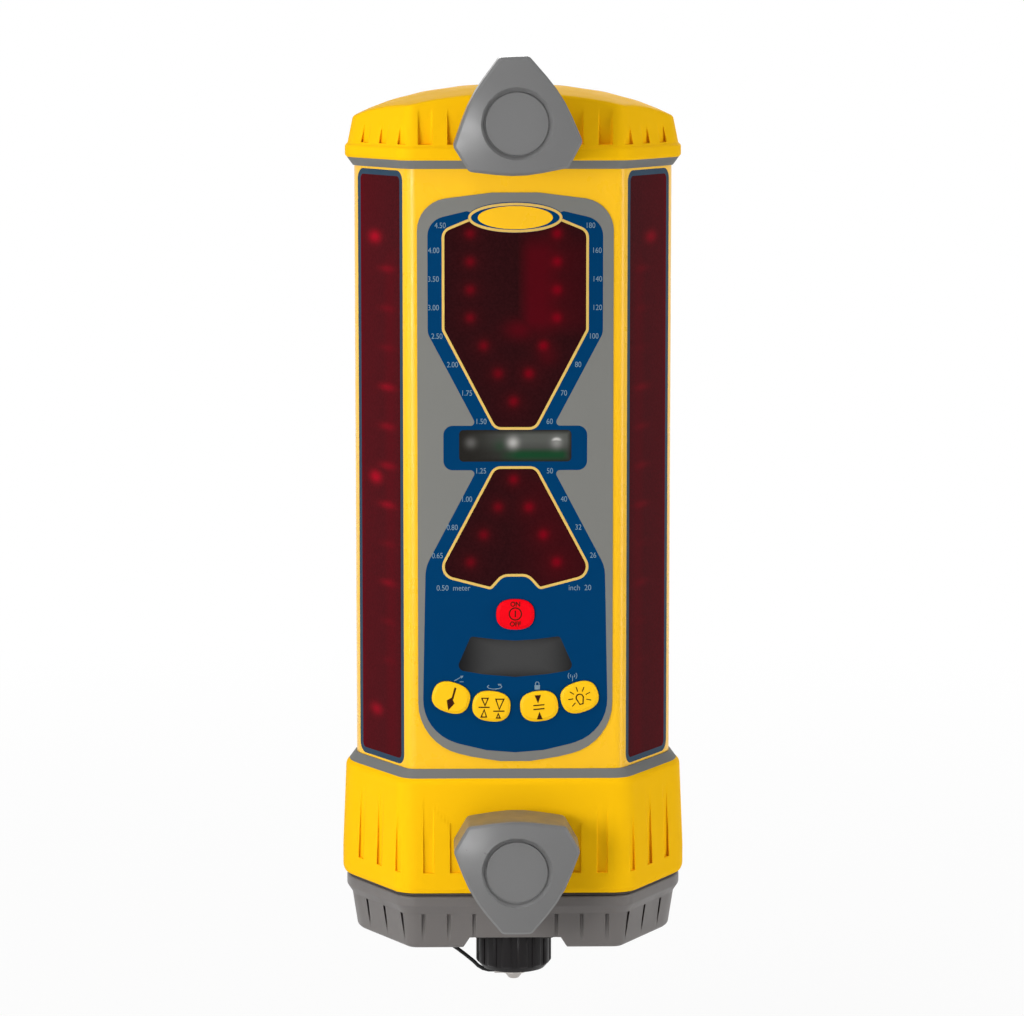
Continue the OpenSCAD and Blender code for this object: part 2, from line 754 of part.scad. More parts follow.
// Room for one clamp: the screw's bore, the pocket of the sliding bar, the slots of the jaw's arms and
// the rebate of the cover under them, with the cap or collar standing on z0
module clamp_cuts(z, z0) {
    slot_x = arm_x - slide_gap;
    slot_w = arm_t + 2 * slide_gap;
    slot_z = z - arm_drop - arm_h / 2 - slide_gap;
    slot_h = arm_h + 2 * slide_gap;
    translate([0, knob_seat_y - overrun, z]) rotate([-90, 0, 0])
        cylinder(r = screw_r + shaft_gap, h = pocket_y0 - knob_seat_y + 2 * overrun);
    translate([0, pocket_y0, z]) rotate([-90, 0, 0])
        cylinder(r = screw_boss_r + slide_gap, h = pocket_y1 - pocket_y0);
    translate([-bar_x - slide_gap, pocket_y0, z0])
        cube([2 * (bar_x + slide_gap), pocket_y1 - pocket_y0, slot_z + slot_h - z0]);
    for (side = [-1, 1]) translate([side * (slot_x + slot_w / 2) - slot_w / 2, pocket_y1 - overrun, slot_z])
        cube([slot_w, body_d, slot_h]);
    translate([-bar_x - cover_side, pocket_y0 - cover_end, z0 - overrun])
        cube([2 * (bar_x + cover_side), pocket_y1 - pocket_y0 + 2 * cover_end, cover_t + overrun]);
    at_cover_screws() translate([0, 0, z0]) cylinder(r = m3_r + m3_pilot, h = m3_long + cover_t);
}

module at_cover_screws() {
    for (side = [-1, 1], y = [pocket_y0, pocket_y1])
        translate([side * (bar_x + cover_side - cover_screw_in), y, 0]) children();
}

module knob_boss(z) {
    translate([0, knob_seat_y, z]) rotate([-90, 0, 0]) cylinder(r = boss_r, h = boss_out + wall);
}

module top_cap() {
    groove_z = cap_z0 + cap_rim_h + rim_edge;
    reach = cap_wall_out - groove_depth;
    face_reach = cap_wall_out - cap_face_groove_depth;
    color(yellow) placed() difference() {
        union() {
            difference() {
                intersection() {
                    translate([0, 0, cap_z0]) loft(cap_levels, body_outline);
                    translate([0, 0, cap_z1 - dome_r]) sphere(r = dome_r, $fn = 180);
                }
                bevel_groove_cuts(groove_w, reach, groove_z, cap_z1);
                face_groove_cut(groove_x, groove_w, face_reach, groove_z, cap_z1);
                on_front() translate([-recess_half_w, groove_z, face_reach])
                    cube([2 * recess_half_w, cap_h, collar_out]);
            }
            knob_boss(upper_z);
        }
        saddle_cut(cap_z0, cap_z1);
        clamp_cuts(upper_z, cap_z0);
        rod_holes(cap_z0 - overrun, cap_z0 + rod_bite + overrun);
    }
}

module bottom_collar() {
    groove_z = collar_z0 + collar_groove_h;
    reach = collar_out - groove_depth;
    color(yellow) placed() difference() {
        union() {
            difference() {
                translate([0, 0, collar_z0]) loft(collar_levels, body_outline);
                bevel_groove_cuts(groove_w, reach, groove_z, collar_z1);
                face_groove_cut(groove_x, groove_w, reach, groove_z, collar_z1);
                on_front() translate([0, 0, reach]) linear_extrude(collar_out) polygon([
                    [-recess_half_w, groove_z], [recess_half_w, groove_z],
                    [recess_half_w, collar_z0 + recess_shoulder_h],
                    [recess_top_half_w, collar_z0 + recess_top_h],
                    [recess_top_half_w, collar_z1], [-recess_top_half_w, collar_z1],
                    [-recess_top_half_w, collar_z0 + recess_top_h],
                    [-recess_half_w, collar_z0 + recess_shoulder_h]
                ]);
            }
            knob_boss(lower_z);
        }
        saddle_cut(collar_z0, collar_z1);
        clamp_cuts(lower_z, collar_z0);
        rod_holes(collar_z0 - overrun, collar_z1 + overrun);
    }
}

// A seal with a bead round its edge, between two narrow gaps
module base_seal() {
    color(gasket_grey) placed() difference() {
        translate([0, 0, base_z1]) loft(seal_levels, body_outline);
        translate([0, 0, base_z1 - overrun]) linear_extrude(seal_t + 2 * overrun) hollow_section();
        channel_cut(base_z1, collar_z0);
    }
}

module base() {
    groove_z1 = base_z0 + base_wall_h;
    reach = base_wall_out - base_groove_depth;
    color(base_grey) placed() difference() {
        translate([0, 0, base_z0]) loft(base_levels, body_outline);
        bevel_groove_cuts(base_groove_w, reach, base_z0 + base_foot_r, groove_z1);
        for (k = [0 : front_grooves - 1])
            face_groove_cut(base_groove_x + k * base_groove_pitch, base_groove_w, reach,
                base_z0 + base_foot_r, groove_z1);
        channel_cut(base_z0, base_z1);
        translate([0, body_d, 0]) rotate([90, 0, 0]) linear_extrude(2 * body_d) polygon([
            [-notch_w / 2 - notch_flare, base_z0], [-notch_w / 2 - notch_flare, base_z0 - overrun],
            [notch_w / 2 + notch_flare, base_z0 - overrun], [notch_w / 2 + notch_flare, base_z0],
            [notch_w / 2, notch_z], [-notch_w / 2, notch_z]
        ]);
        rod_holes(base_z0 - overrun, base_z1 + overrun);
        at_pairs(rod_places) translate([0, 0, base_z0 - overrun])
            cylinder(r = rod_head_r + rod_head_room, h = rod_seat_h + overrun);
        translate([0, connector_y, base_z0]) cylinder(r = barrel_r + rod_gap, h = base_h + overrun);
        at_flange_screws() cylinder(r = m3_r + m3_pilot, h = m3_long);
        translate([anchor_place[0], anchor_place[1], base_z0 - overrun])
            cylinder(r = anchor_shank_r + m3_pilot, h = anchor_shank_h + 2 * overrun);
    }
}

module window(side, end) {
    color(lens_red) placed() on_bevel(side, end) translate([window_x, window_z, -window_t])
        linear_extrude(window_t) polygon(rounded(rect(pane_w, pane_h, window_r - window_seal_w)));
}

module front_left_window() {
    window(-1, -1);
}

module front_right_window() {
    window(1, -1);
}

module rear_left_window() {
    window(-1, 1);
}

module rear_right_window() {
    window(1, 1);
}

module window_seals() {
    color(blue) placed() on_bevels() translate([window_x, window_z, -window_t])
        linear_extrude(window_t) difference() {
            polygon(rounded(rect(window_w, window_h, window_r)));
            polygon(rounded(rect(pane_w, pane_h, window_r - window_seal_w)));
        }
}

module panel_plate() {
    color(panel_grey) placed() on_front() difference() {
        translate([0, 0, panel_back]) linear_extrude(panel_t) difference() {
            polygon(rounded(panel_outline));
            lens_holes(0);
            key_holes(key_gap, key_gap);
        }
        translate([0, 0, panel_proud - film_t]) linear_extrude(panel_t) film_section();
    }
}

module panel_film() {
    color(blue) placed() on_front() translate([0, 0, panel_proud - film_t]) linear_extrude(film_t)
        difference() {
            film_section();
            lens_holes(0);
            key_holes(key_gap, key_gap);
        }
}

module upper_lens() {
    color(lens_red) placed() lens(upper_lens_outline);
}

module lower_lens() {
    color(lens_red) placed() lens(lower_lens_outline);
}

module grade_lens() {
    color(black) placed() lens(grade_lens_outline);
}

module lcd_lens() {
    color(black) placed() lens(lcd_lens_outline);
}

// A key: a domed cap, a flange above and below that the plate holds in, and a stem to its switch
module key() {
    flange_z = panel_back - key_gap - key_flange_t;
    stem_z = -board_drop + switch_h + key_travel + key_gap;
    top = panel_proud + key_rise;
    skin([for (l = [[flange_z + key_flange_t - seat_gap, 0], [top - key_edge, 0], [top, -2 * key_edge]])
        [l[0], key_oval(key_w + 2 * l[1], key_h + 2 * l[1])]]);
    translate([0, 0, flange_z]) linear_extrude(key_flange_t)
        polygon(key_oval(key_w, key_h + 2 * key_flange));
    translate([0, 0, stem_z]) cylinder(r = key_stem_r, h = flange_z - stem_z + seat_gap);
}

module power_key() {
    color("red") placed() on_front() translate([0, power_key_z, 0]) key();
}

module arc_key(k) {
    color(yellow) placed() on_front() key_place(k) key();
}

module grade_key() {
    arc_key(0);
}

module deadband_key() {
    arc_key(1);
}

module offset_key() {
    arc_key(2);
}

module lamp_key() {
    arc_key(3);
}

module display_board() {
    color(board_green) placed() on_front() difference() {
        translate([-display_board_w / 2, display_board_z0, -board_drop - board_t])
            cube([display_board_w, display_board_h, board_t]);
        at_display_posts() translate([0, 0, -board_drop - board_t - overrun])
            cylinder(r = m3_r + m3_pilot, h = board_t + 2 * overrun);
    }
}

// A round lamp with a domed end
module led() {
    rotate_extrude() {
        square([led_r, led_h - led_r]);
        translate([0, led_h - led_r]) intersection() {
            circle(r = led_r);
            square(led_r);
        }
    }
}

// Rows of lamps that spread from the point next to the on-grade window and then run straight
module led_rows(z, step, rows) {
    for (n = [0 : rows - 1], side = n == 0 ? [1] : [-1, 1])
        translate([side * led_spread * led_spread_shares[min(n, len(led_spread_shares) - 1)], z + n * step,
            -board_drop]) led();
}

module red_leds() {
    color("darkred") placed() on_front() {
        led_rows(upper_led_z, led_row, upper_led_rows);
        led_rows(lower_led_z, -led_row, lower_led_rows);
    }
}

module grade_leds() {
    color("silver") placed() on_front() for (x = [-led_spread, 0, led_spread])
        translate([x, grade_led_z, -board_drop]) led();
}

module key_switches() {
    color(black) placed() on_front() at_keys() translate([-switch_w / 2, -switch_w / 2, -board_drop])
        cube([switch_w, switch_w, switch_h]);
}

module lcd_module() {
    color("dimgray") placed() on_front()
        translate([-lcd_w / 2, lcd_lens_z0 + (lcd_lens_h - lcd_h) / 2, -board_drop])
            cube([lcd_w, lcd_h, lcd_t]);
}

// The boards behind the windows start clear of the display board's edges
module photocell_boards() {
    depth = wall + rail_d + board_t;
    clear_x = display_board_w / 2 + display_board_room - front_w / 2 + depth * sin(bevel_a);
    x0 = max(window_x - pane_w / 2, clear_x / cos(bevel_a));
    color(board_green) placed() on_bevels()
        translate([x0, window_z - pane_h / 2 + cell_board_end, -depth])
            cube([window_x + pane_w / 2 - x0, pane_h - 2 * cell_board_end, board_t]);
}

module photocells() {
    count = floor((pane_h - 2 * cell_board_end - cell_h) / cell_pitch) + 1;
    first_z = window_z - (count - 1) * cell_pitch / 2;
    color(black) placed() on_bevels() for (k = [0 : count - 1])
        translate([window_x - cell_off - cell_w / 2, first_z + k * cell_pitch - cell_h / 2, -wall - rail_d])
            cube([cell_w, cell_h, cell_t]);
}

module at_cells() {
    for (i = [0 : battery_columns - 1], k = [0 : battery_layers - 1])
        translate([(i - (battery_columns - 1) / 2) * battery_pitch, battery_y,
            battery_z0 + cradle_t + k * (battery_cell_h + cradle_t)]) children();
}

// A rack on the channel's wall with a shelf under each layer of cells
module battery_cradle() {
    half_w = (battery_columns - 1) / 2 * battery_pitch + cell_r + cradle_t;
    color("dimgray") placed() difference() {
        translate([-half_w, battery_y - cell_r, battery_z0])
            cube([2 * half_w, control_post_y - battery_y + cell_r,
                battery_layers * (battery_cell_h + cradle_t) + cradle_t]);
        at_cells() cylinder(r = cell_r + cradle_gap, h = battery_cell_h);
        at_cells() translate([-cell_r - cradle_gap, -cell_r - overrun, 0])
            cube([2 * (cell_r + cradle_gap), cell_r + overrun, battery_cell_h]);
    }
}

module battery_cells() {
    color("steelblue") placed() at_cells() cylinder(r = cell_r, h = battery_cell_h);
}

module control_board() {
    color(board_green) placed() difference() {
        translate([-control_board_w / 2, control_board_y - board_t, control_board_z0])
            cube([control_board_w, board_t, control_board_h]);
        at_control_posts() translate([0, 0, -overrun])
            cylinder(r = m3_r + m3_pilot, h = board_t + 2 * overrun);
    }
}

// An M3 screw that points down from under its head, and one that points up from a flat head
module m3_screw() {
    cylinder(r = m3_head_r, h = m3_head_h);
    translate([0, 0, seat_gap - m3_long]) cylinder(r = m3_r, h = m3_long);
}

module flat_head(room) {
    cylinder(r1 = m3_head_r + room, r2 = m3_r + room, h = m3_head_r - m3_r);
}

module flat_screw() {
    flat_head(0);
    translate([0, 0, m3_head_r - m3_r - seat_gap]) cylinder(r = m3_r, h = m3_long);
}

module at_flange_screws() {
    out = flange_w / 2 - flange_screw_in;
    for (x = [-out, out], y = [-out, out]) translate([x, connector_y + y, notch_z]) children();
}

module m3_screws() {
    color(steel) placed() {
        on_front() at_display_posts() translate([0, 0, -board_drop - board_t]) mirror([0, 0, 1]) m3_screw();
        at_control_posts() translate([0, 0, board_t]) m3_screw();
        at_flange_screws() translate([0, 0, -flange_t]) mirror([0, 0, 1]) m3_screw();
        at_cover_screws() for (z = [cap_z0, collar_z0]) translate([0, 0, z]) flat_screw();
    }
}

module tie_rods() {
    seat_z = base_z0 + rod_seat_h;
    color(steel) placed() at_pairs(rod_places) {
        translate([0, 0, seat_z - rod_head_h]) cylinder(r = rod_head_r, h = rod_head_h);
        translate([0, 0, seat_z - seat_gap]) cylinder(r = rod_r, h = cap_z0 + rod_bite - seat_z);
    }
}

// A plate that closes a clamp's pocket, held by four flat-headed screws
module clamp_cover(z0) {
    difference() {
        translate([seat_gap - bar_x - cover_side, seat_gap + pocket_y0 - cover_end, z0])
            cube([2 * (bar_x + cover_side - seat_gap), pocket_y1 - pocket_y0 + 2 * (cover_end - seat_gap),
                cover_t]);
        at_cover_screws() translate([0, 0, z0]) flat_head(m3_pilot);
        at_cover_screws() translate([0, 0, z0]) cylinder(r = m3_r + m3_pilot, h = cover_t + overrun);
    }
}

module clamp_covers() {
    color(steel) placed() {
        clamp_cover(cap_z0);
        clamp_cover(collar_z0);
    }
}

module thrust_washers() {
    color(steel) placed() for (z = [upper_z, lower_z])
        translate([0, knob_seat_y, z]) rotate([90, 0, 0]) difference() {
            cylinder(r = washer_r, h = washer_t);
            translate([0, 0, -overrun]) cylinder(r = screw_r + slide_gap, h = washer_t + 2 * overrun);
        }
}

// Clamp pieces about a screw axis: x across, y along the screw and z up
module knob() {
    recess = knob_t - plug_drop - plug_t;
    rotate([90, 0, 0]) difference() {
        loft([[0, -knob_edge], [knob_edge, 0], [knob_t - knob_edge, 0], [knob_t, -knob_edge]], knob_outline);
        translate([0, 0, recess]) cylinder(r = disc_r, h = knob_t);
        translate([0, 0, knob_t - plug_drop])
            cylinder(r1 = disc_r, r2 = disc_r + 2 * disc_ring_w, h = 2 * plug_drop);
        translate([0, 0, recess - head_h - seat_gap])
            cylinder(r = head_r + seat_gap, h = knob_t, $fn = head_sides);
        translate([0, 0, -overrun]) cylinder(r = screw_r + seat_gap, h = knob_t);
    }
}

module knob_plug() {
    translate([0, plug_drop + plug_t - knob_t, 0]) rotate([90, 0, 0])
        cylinder(r = disc_r - plug_room, h = plug_t);
}

module clamp_screw() {
    seat = knob_t - plug_drop - plug_t - head_h - seat_gap;
    tip = screw_tip_y - knob_y;
    rotate([90, 0, 0]) {
        translate([0, 0, seat]) cylinder(r = head_r, h = head_h, $fn = head_sides);
        translate([0, 0, -tip]) cylinder(r = screw_r, h = tip + seat + seat_gap);
    }
}

module retaining_ring() {
    translate([0, pocket_y0 + seat_gap, 0]) rotate([-90, 0, 0]) difference() {
        cylinder(r = screw_boss_r, h = ring_t);
        translate([0, 0, -overrun]) cylinder(r = screw_r + seat_gap, h = ring_t + 2 * overrun);
    }
}

module at_arm_screws() {
    for (side = [-1, 1]) translate([side * (arm_x + arm_t / 2), bar_front_y, -arm_drop])
        rotate([-90, 0, 0]) children();
}

module crossbar() {
    difference() {
        union() {
            translate([-bar_x, bar_front_y, -arm_drop - arm_h / 2]) cube([2 * bar_x, bar_t, arm_h]);
            translate([0, bar_front_y, 0]) rotate([-90, 0, 0]) cylinder(r = screw_boss_r, h = bar_t);
        }
        translate([0, bar_front_y - overrun, 0]) rotate([-90, 0, 0])
            cylinder(r = screw_r + shaft_gap, h = bar_t + 2 * overrun);
        at_arm_screws() {
            translate([0, 0, -overrun]) cylinder(r = arm_screw_r + seat_gap, h = bar_t + 2 * overrun);
            translate([0, 0, -overrun])
                cylinder(r = arm_screw_head_r + seat_gap, h = arm_screw_head_h + overrun);
        }
    }
}

// A yoke that goes round the mast: two arms and a bridge with a round seat
module jaw() {
    bar_back_y = bar_t / 2;
    difference() {
        union() {
            for (x = [-bar_x, arm_x]) translate([x, bar_back_y, -arm_drop - arm_h / 2])
                cube([arm_t, jaw_front_y - bar_back_y + overrun, arm_h]);
            translate([0, 0, -arm_drop - jaw_h / 2]) linear_extrude(jaw_h) polygon(rounded([
                [bar_x, jaw_front_y, 0], [bar_x, jaw_back_y, 3 * jaw_edge],
                [-bar_x, jaw_back_y, 3 * jaw_edge], [-bar_x, jaw_front_y, 0]
            ]));
        }
        translate([0, mast_back, -arm_drop - jaw_h]) cylinder(r = seat_r, h = 2 * jaw_h);
        at_arm_screws() translate([0, 0, bar_t - overrun])
            cylinder(r = arm_screw_r + seat_gap, h = arm_screw_depth + 2 * overrun);
    }
}

module jaw_screws() {
    at_arm_screws() {
        cylinder(r = arm_screw_head_r, h = arm_screw_head_h);
        translate([0, 0, arm_screw_head_h - seat_gap])
            cylinder(r = arm_screw_r, h = bar_t - arm_screw_head_h + arm_screw_depth);
    }
}

module at_upper_knob() {
    placed() translate([0, knob_y, upper_z]) children();
}

module at_lower_knob() {
    placed() translate([0, knob_y, lower_z]) rotate([0, 180, 0]) children();
}

module at_upper_screw() {
    placed() translate([0, 0, upper_z]) children();
}

module at_lower_screw() {
    placed() translate([0, 0, lower_z]) children();
}

module upper_knob() {
    color(knob_grey) at_upper_knob() knob();
}

module upper_knob_plug() {
    color(knob_grey) at_upper_knob() knob_plug();
}

module upper_clamp_screw() {
    color(steel) at_upper_knob() clamp_screw();
}

module upper_retaining_ring() {
    color(steel) at_upper_screw() retaining_ring();
}

module upper_crossbar() {
    color(steel) at_upper_screw() crossbar();
}

module upper_jaw() {
    color(base_grey) at_upper_screw() jaw();
}

module upper_jaw_screws() {
    color(steel) at_upper_screw() jaw_screws();
}

module lower_knob() {
    color(knob_grey) at_lower_knob() knob();
}

module lower_knob_plug() {
    color(knob_grey) at_lower_knob() knob_plug();
}

module lower_clamp_screw() {
    color(steel) at_lower_knob() clamp_screw();
}

module lower_retaining_ring() {
    color(steel) at_lower_screw() retaining_ring();
}

module lower_crossbar() {
    color(steel) at_lower_screw() crossbar();
}

module lower_jaw() {
    color(base_grey) at_lower_screw() jaw();
}

module lower_jaw_screws() {
    color(steel) at_lower_screw() jaw_screws();
}

// Pieces about the connector's axis, with heights still from the on-grade mark
module at_connector() {
    placed() translate([0, connector_y, 0]) children();
}

module connector_shell() {
    color(black) placed() difference() {
        translate([0, connector_y, 0]) difference() {
            union() {
                translate([0, 0, notch_z - flange_t]) linear_extrude(flange_t)
                    polygon(rounded(rect(flange_w, flange_w, flange_r)));
                translate([0, 0, notch_z - flange_t - shell_h]) cylinder(r = shell_r, h = shell_h + seat_gap);
                translate([0, 0, notch_z - seat_gap]) cylinder(r = barrel_r, h = barrel_h);
            }
            translate([0, 0, notch_z - flange_t - shell_h - overrun])
                cylinder(r = shell_bore_r, h = shell_h + flange_t + overrun);
        }
        at_flange_screws() translate([0, 0, -flange_t - overrun])
            cylinder(r = m3_r + m3_pilot, h = flange_t + 2 * overrun);
    }
}

module at_pins() {
    translate([0, 0, insert_z]) children();
    for (k = [0 : pins_round - 1])
        rotate([0, 0, k * 360 / pins_round]) translate([pin_circle_r, 0, insert_z]) children();
}

module connector_insert() {
    color(base_grey) at_connector() difference() {
        translate([0, 0, insert_z]) cylinder(r = shell_bore_r - seat_gap, h = notch_z - insert_z);
        at_pins() translate([0, 0, -overrun]) cylinder(r = pin_r + seat_gap, h = pin_h + overrun);
    }
}

module connector_pins() {
    color("gold") at_connector() at_pins() translate([0, 0, -pin_h / 2]) cylinder(r = pin_r, h = pin_h);
}

module dust_cap() {
    color(black) at_connector() difference() {
        union() {
            translate([0, 0, dust_cap_z0])
                cylinder(r1 = dust_cap_r - cap_bottom_edge, r2 = dust_cap_r, h = cap_bottom_edge);
            translate([0, 0, dust_cap_z0 + cap_bottom_edge])
                cylinder(r = dust_cap_r, h = dust_cap_h - cap_bottom_edge);
        }
        translate([0, 0, dust_cap_z0 + cap_wall_t]) cylinder(r = shell_r + thread_gap, h = dust_cap_h);
        translate([0, 0, dust_cap_z0 - overrun]) cylinder(r = pivot_r + seat_gap, h = dust_cap_h);
        for (k = [0 : flutes - 1]) rotate([0, 0, k * 360 / flutes])
            translate([dust_cap_r + flute_out, 0, dust_cap_z0 - overrun])
                cylinder(r = flute_r, h = dust_cap_h);
    }
}

module dust_cap_seal() {
    color(base_grey) at_connector() translate([0, 0, dust_cap_z0 + cap_wall_t]) difference() {
        cylinder(r = shell_r, h = cap_seal_t);
        translate([0, 0, -overrun]) cylinder(r = shell_r - cap_seal_w, h = cap_seal_t + 2 * overrun);
    }
}

// The pivot that the dust cap turns on, with the tether's eyelet between its collar and its head
module dust_cap_screw() {
    collar_z = dust_cap_z0 - seat_gap - pivot_collar_h;
    head_z = collar_z - eyelet_t - pivot_head_h;
    disc_z = dust_cap_z0 + cap_wall_t + seat_gap;
    color(steel) at_connector() {
        translate([0, 0, head_z]) cylinder(r1 = pivot_head_r / 2, r2 = pivot_head_r, h = pivot_head_h);
        translate([0, 0, head_z + pivot_head_h - seat_gap])
            cylinder(r = pivot_r, h = disc_z + pivot_disc_t - head_z - pivot_head_h);
        translate([0, 0, collar_z]) cylinder(r = pivot_collar_r, h = pivot_collar_h);
        translate([0, 0, disc_z]) cylinder(r = pivot_disc_r, h = pivot_disc_t);
    }
}

module tether_eyelet() {
    eyelet_z = dust_cap_z0 - seat_gap - pivot_collar_h - eyelet_t;
    ferrule_z = tether_route[len(tether_route) - 1][2];
    color(steel) at_connector() difference() {
        union() {
            translate([0, 0, eyelet_z]) cylinder(r = eyelet_r, h = eyelet_t);
            translate([-ferrule_x, 0, ferrule_z]) rotate([0, 90, 0])
                cylinder(r = ferrule_r, h = ferrule_x - eyelet_r + overrun);
        }
        translate([0, 0, eyelet_z - overrun]) cylinder(r = pivot_r + seat_gap, h = eyelet_t + 2 * overrun);
    }
}

// Rings square to the route, joined into a closed tube
function along(k) = unit(tether_route[min(k + 1, len(tether_route) - 1)] - tether_route[max(k - 1, 0)]);
function across(k) = unit(cross(along(k), [0, 0, 1]));
function ring_at(k) = let (u = across(k), v = cross(u, along(k)))
    [for (i = [0 : tether_sides - 1])
        tether_route[k] + (u * cos(i * 360 / tether_sides) + v * sin(i * 360 / tether_sides)) * tether_d / 2];

module tether() {
    n = tether_sides;
    last = len(tether_route) - 1;
    color(black) placed() polyhedron(
        points = [for (k = [0 : last]) each ring_at(k)],
        faces = concat(
            [[for (i = [n - 1 : -1 : 0]) i]],
            [[for (i = [0 : n - 1]) last * n + i]],
            [for (k = [0 : last - 1]) for (i = [0 : n - 1])
                let (a = k * n + i, b = k * n + (i + 1) % n)
                each [[a, b, b + n], [a, b + n, a + n]]]
        )
    );
}

module tether_anchor() {
    color(steel) placed() translate([anchor_place[0], anchor_place[1], base_z0]) {
        translate([0, 0, -anchor_h]) cylinder(r = anchor_r, h = anchor_h);
        translate([0, 0, -seat_gap]) cylinder(r = anchor_shank_r, h = anchor_shank_h);
    }
}

main_housing();
top_gasket();
bottom_gasket();
top_cap();
bottom_collar();
base_seal();
base();
front_left_window();
front_right_window();
rear_left_window();
rear_right_window();
window_seals();
panel_plate();
panel_film();
upper_lens();
lower_lens();
grade_lens();
lcd_lens();
power_key();
grade_key();
deadband_key();
offset_key();
lamp_key();
display_board();
red_leds();
grade_leds();
key_switches();
lcd_module();
photocell_boards();
photocells();
battery_cradle();
battery_cells();
control_board();
m3_screws();
tie_rods();
clamp_covers();
thrust_washers();
upper_knob();
upper_knob_plug();
upper_clamp_screw();
upper_retaining_ring();
upper_crossbar();
upper_jaw();
upper_jaw_screws();
lower_knob();
lower_knob_plug();
lower_clamp_screw();
lower_retaining_ring();
lower_crossbar();
lower_jaw();
lower_jaw_screws();
connector_shell();
connector_insert();
connector_pins();
dust_cap();
dust_cap_seal();
dust_cap_screw();
tether_eyelet();
tether();
tether_anchor();
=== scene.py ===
# The looks of a mast-mounted laser receiver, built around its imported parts.
# The sections follow the receiver as it is put together, from the housing to the connector's cap,
# and the pieces inside come last.
import json
import math

import bmesh
import bpy
from mathutils import Matrix, Vector

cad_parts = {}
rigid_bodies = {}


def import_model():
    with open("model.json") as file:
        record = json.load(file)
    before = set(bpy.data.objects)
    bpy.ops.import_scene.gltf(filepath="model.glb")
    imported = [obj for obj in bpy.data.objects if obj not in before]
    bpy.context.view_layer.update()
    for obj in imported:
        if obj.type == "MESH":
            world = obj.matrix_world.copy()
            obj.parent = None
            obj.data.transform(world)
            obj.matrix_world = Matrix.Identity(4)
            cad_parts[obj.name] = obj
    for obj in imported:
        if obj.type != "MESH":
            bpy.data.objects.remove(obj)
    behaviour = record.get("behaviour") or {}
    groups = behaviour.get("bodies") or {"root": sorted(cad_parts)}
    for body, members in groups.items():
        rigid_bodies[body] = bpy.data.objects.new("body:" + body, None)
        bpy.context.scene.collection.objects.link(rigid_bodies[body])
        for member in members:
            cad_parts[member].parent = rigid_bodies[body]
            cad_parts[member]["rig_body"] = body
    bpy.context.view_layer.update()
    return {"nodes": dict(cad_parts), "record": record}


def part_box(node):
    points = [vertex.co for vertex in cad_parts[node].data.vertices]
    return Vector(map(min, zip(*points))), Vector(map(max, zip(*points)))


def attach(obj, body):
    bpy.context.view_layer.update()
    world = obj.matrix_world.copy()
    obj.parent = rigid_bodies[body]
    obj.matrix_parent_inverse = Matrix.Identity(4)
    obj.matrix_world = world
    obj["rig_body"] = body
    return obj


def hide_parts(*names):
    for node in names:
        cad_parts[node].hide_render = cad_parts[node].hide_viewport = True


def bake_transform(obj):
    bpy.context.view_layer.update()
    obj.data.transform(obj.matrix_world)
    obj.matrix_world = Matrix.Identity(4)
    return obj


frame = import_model()

# The view, as the photograph was taken: a long lens in front, a little above the receiver's middle.
# Soft lamps stand round it, stronger on the left, and a plain white floor under it fills the background.
mm = 0.001
view_target = Vector((-0.4, -45, -30.9)) * mm
view_azimuth = math.radians(-1.2)
view_elevation = math.radians(7.3)
view_distance = 1627 * mm
view_lens = 138.1
studio_lamps = (
    ("key_lamp", (-0.55, -0.9, 0.04), 0.34, 0.34, 4.7),
    ("top_lamp", (-0.6, -0.6, 1.5), 0.9, 0.7, 9.5),
    ("left_strip", (-0.95, -0.5, 0), 0.16, 1.3, 2.8),
    ("right_strip", (1.1, -0.36, 0), 0.3, 1.3, 7.6),
    ("low_lamp", (0.6, -0.95, -0.5), 0.4, 0.4, 1.2),
    ("rear_lamp", (0.3, 1.9, 0.8), 1.2, 1.0, 12),
)
room_light = 0.24
floor_height = -300 * mm
floor_reach = 30
floor_near, floor_far = 0.35, 1.3
floor_near_white = 0.91
floor_grey = (0.9, 0.9, 0.9, 1)
white = (1, 1, 1, 1)


def wire(tree, kind, inputs=(), family="ShaderNode", **settings):
    """The outputs of a new node, with its settings made and its inputs linked or set."""
    node = tree.nodes.new(family + kind)
    for name, value in settings.items():
        setattr(node, name, value)
    for socket, value in dict(inputs).items():
        if isinstance(value, bpy.types.NodeSocket):
            tree.links.new(value, node.inputs[socket])
        else:
            node.inputs[socket].default_value = value
    return node.outputs


def seen_directly(tree):
    """1 for the rays of the camera, of reflections and of clear things, which show the white surround."""
    path = wire(tree, "LightPath")
    seen = wire(tree, "Math", {0: path["Is Camera Ray"], 1: path["Is Glossy Ray"]}, operation="MAXIMUM")
    seen = wire(tree, "Math", {0: seen[0], 1: path["Is Transmission Ray"]}, operation="MAXIMUM")
    return seen[0]


def in_scene(name, data):
    """A new object in the scene."""
    thing = bpy.data.objects.new(name, data)
    bpy.context.collection.objects.link(thing)
    return thing


def soft_lamp(name, place, width, height, watts):
    """A lamp panel that faces the receiver."""
    lamp = bpy.data.lights.new(name, "AREA")
    lamp.shape = "RECTANGLE"
    lamp.size = width
    lamp.size_y = height
    lamp.energy = watts
    panel = in_scene(name, lamp)
    panel.location = place
    panel.rotation_euler = (view_target - Vector(place)).to_track_quat("-Z", "Y").to_euler()


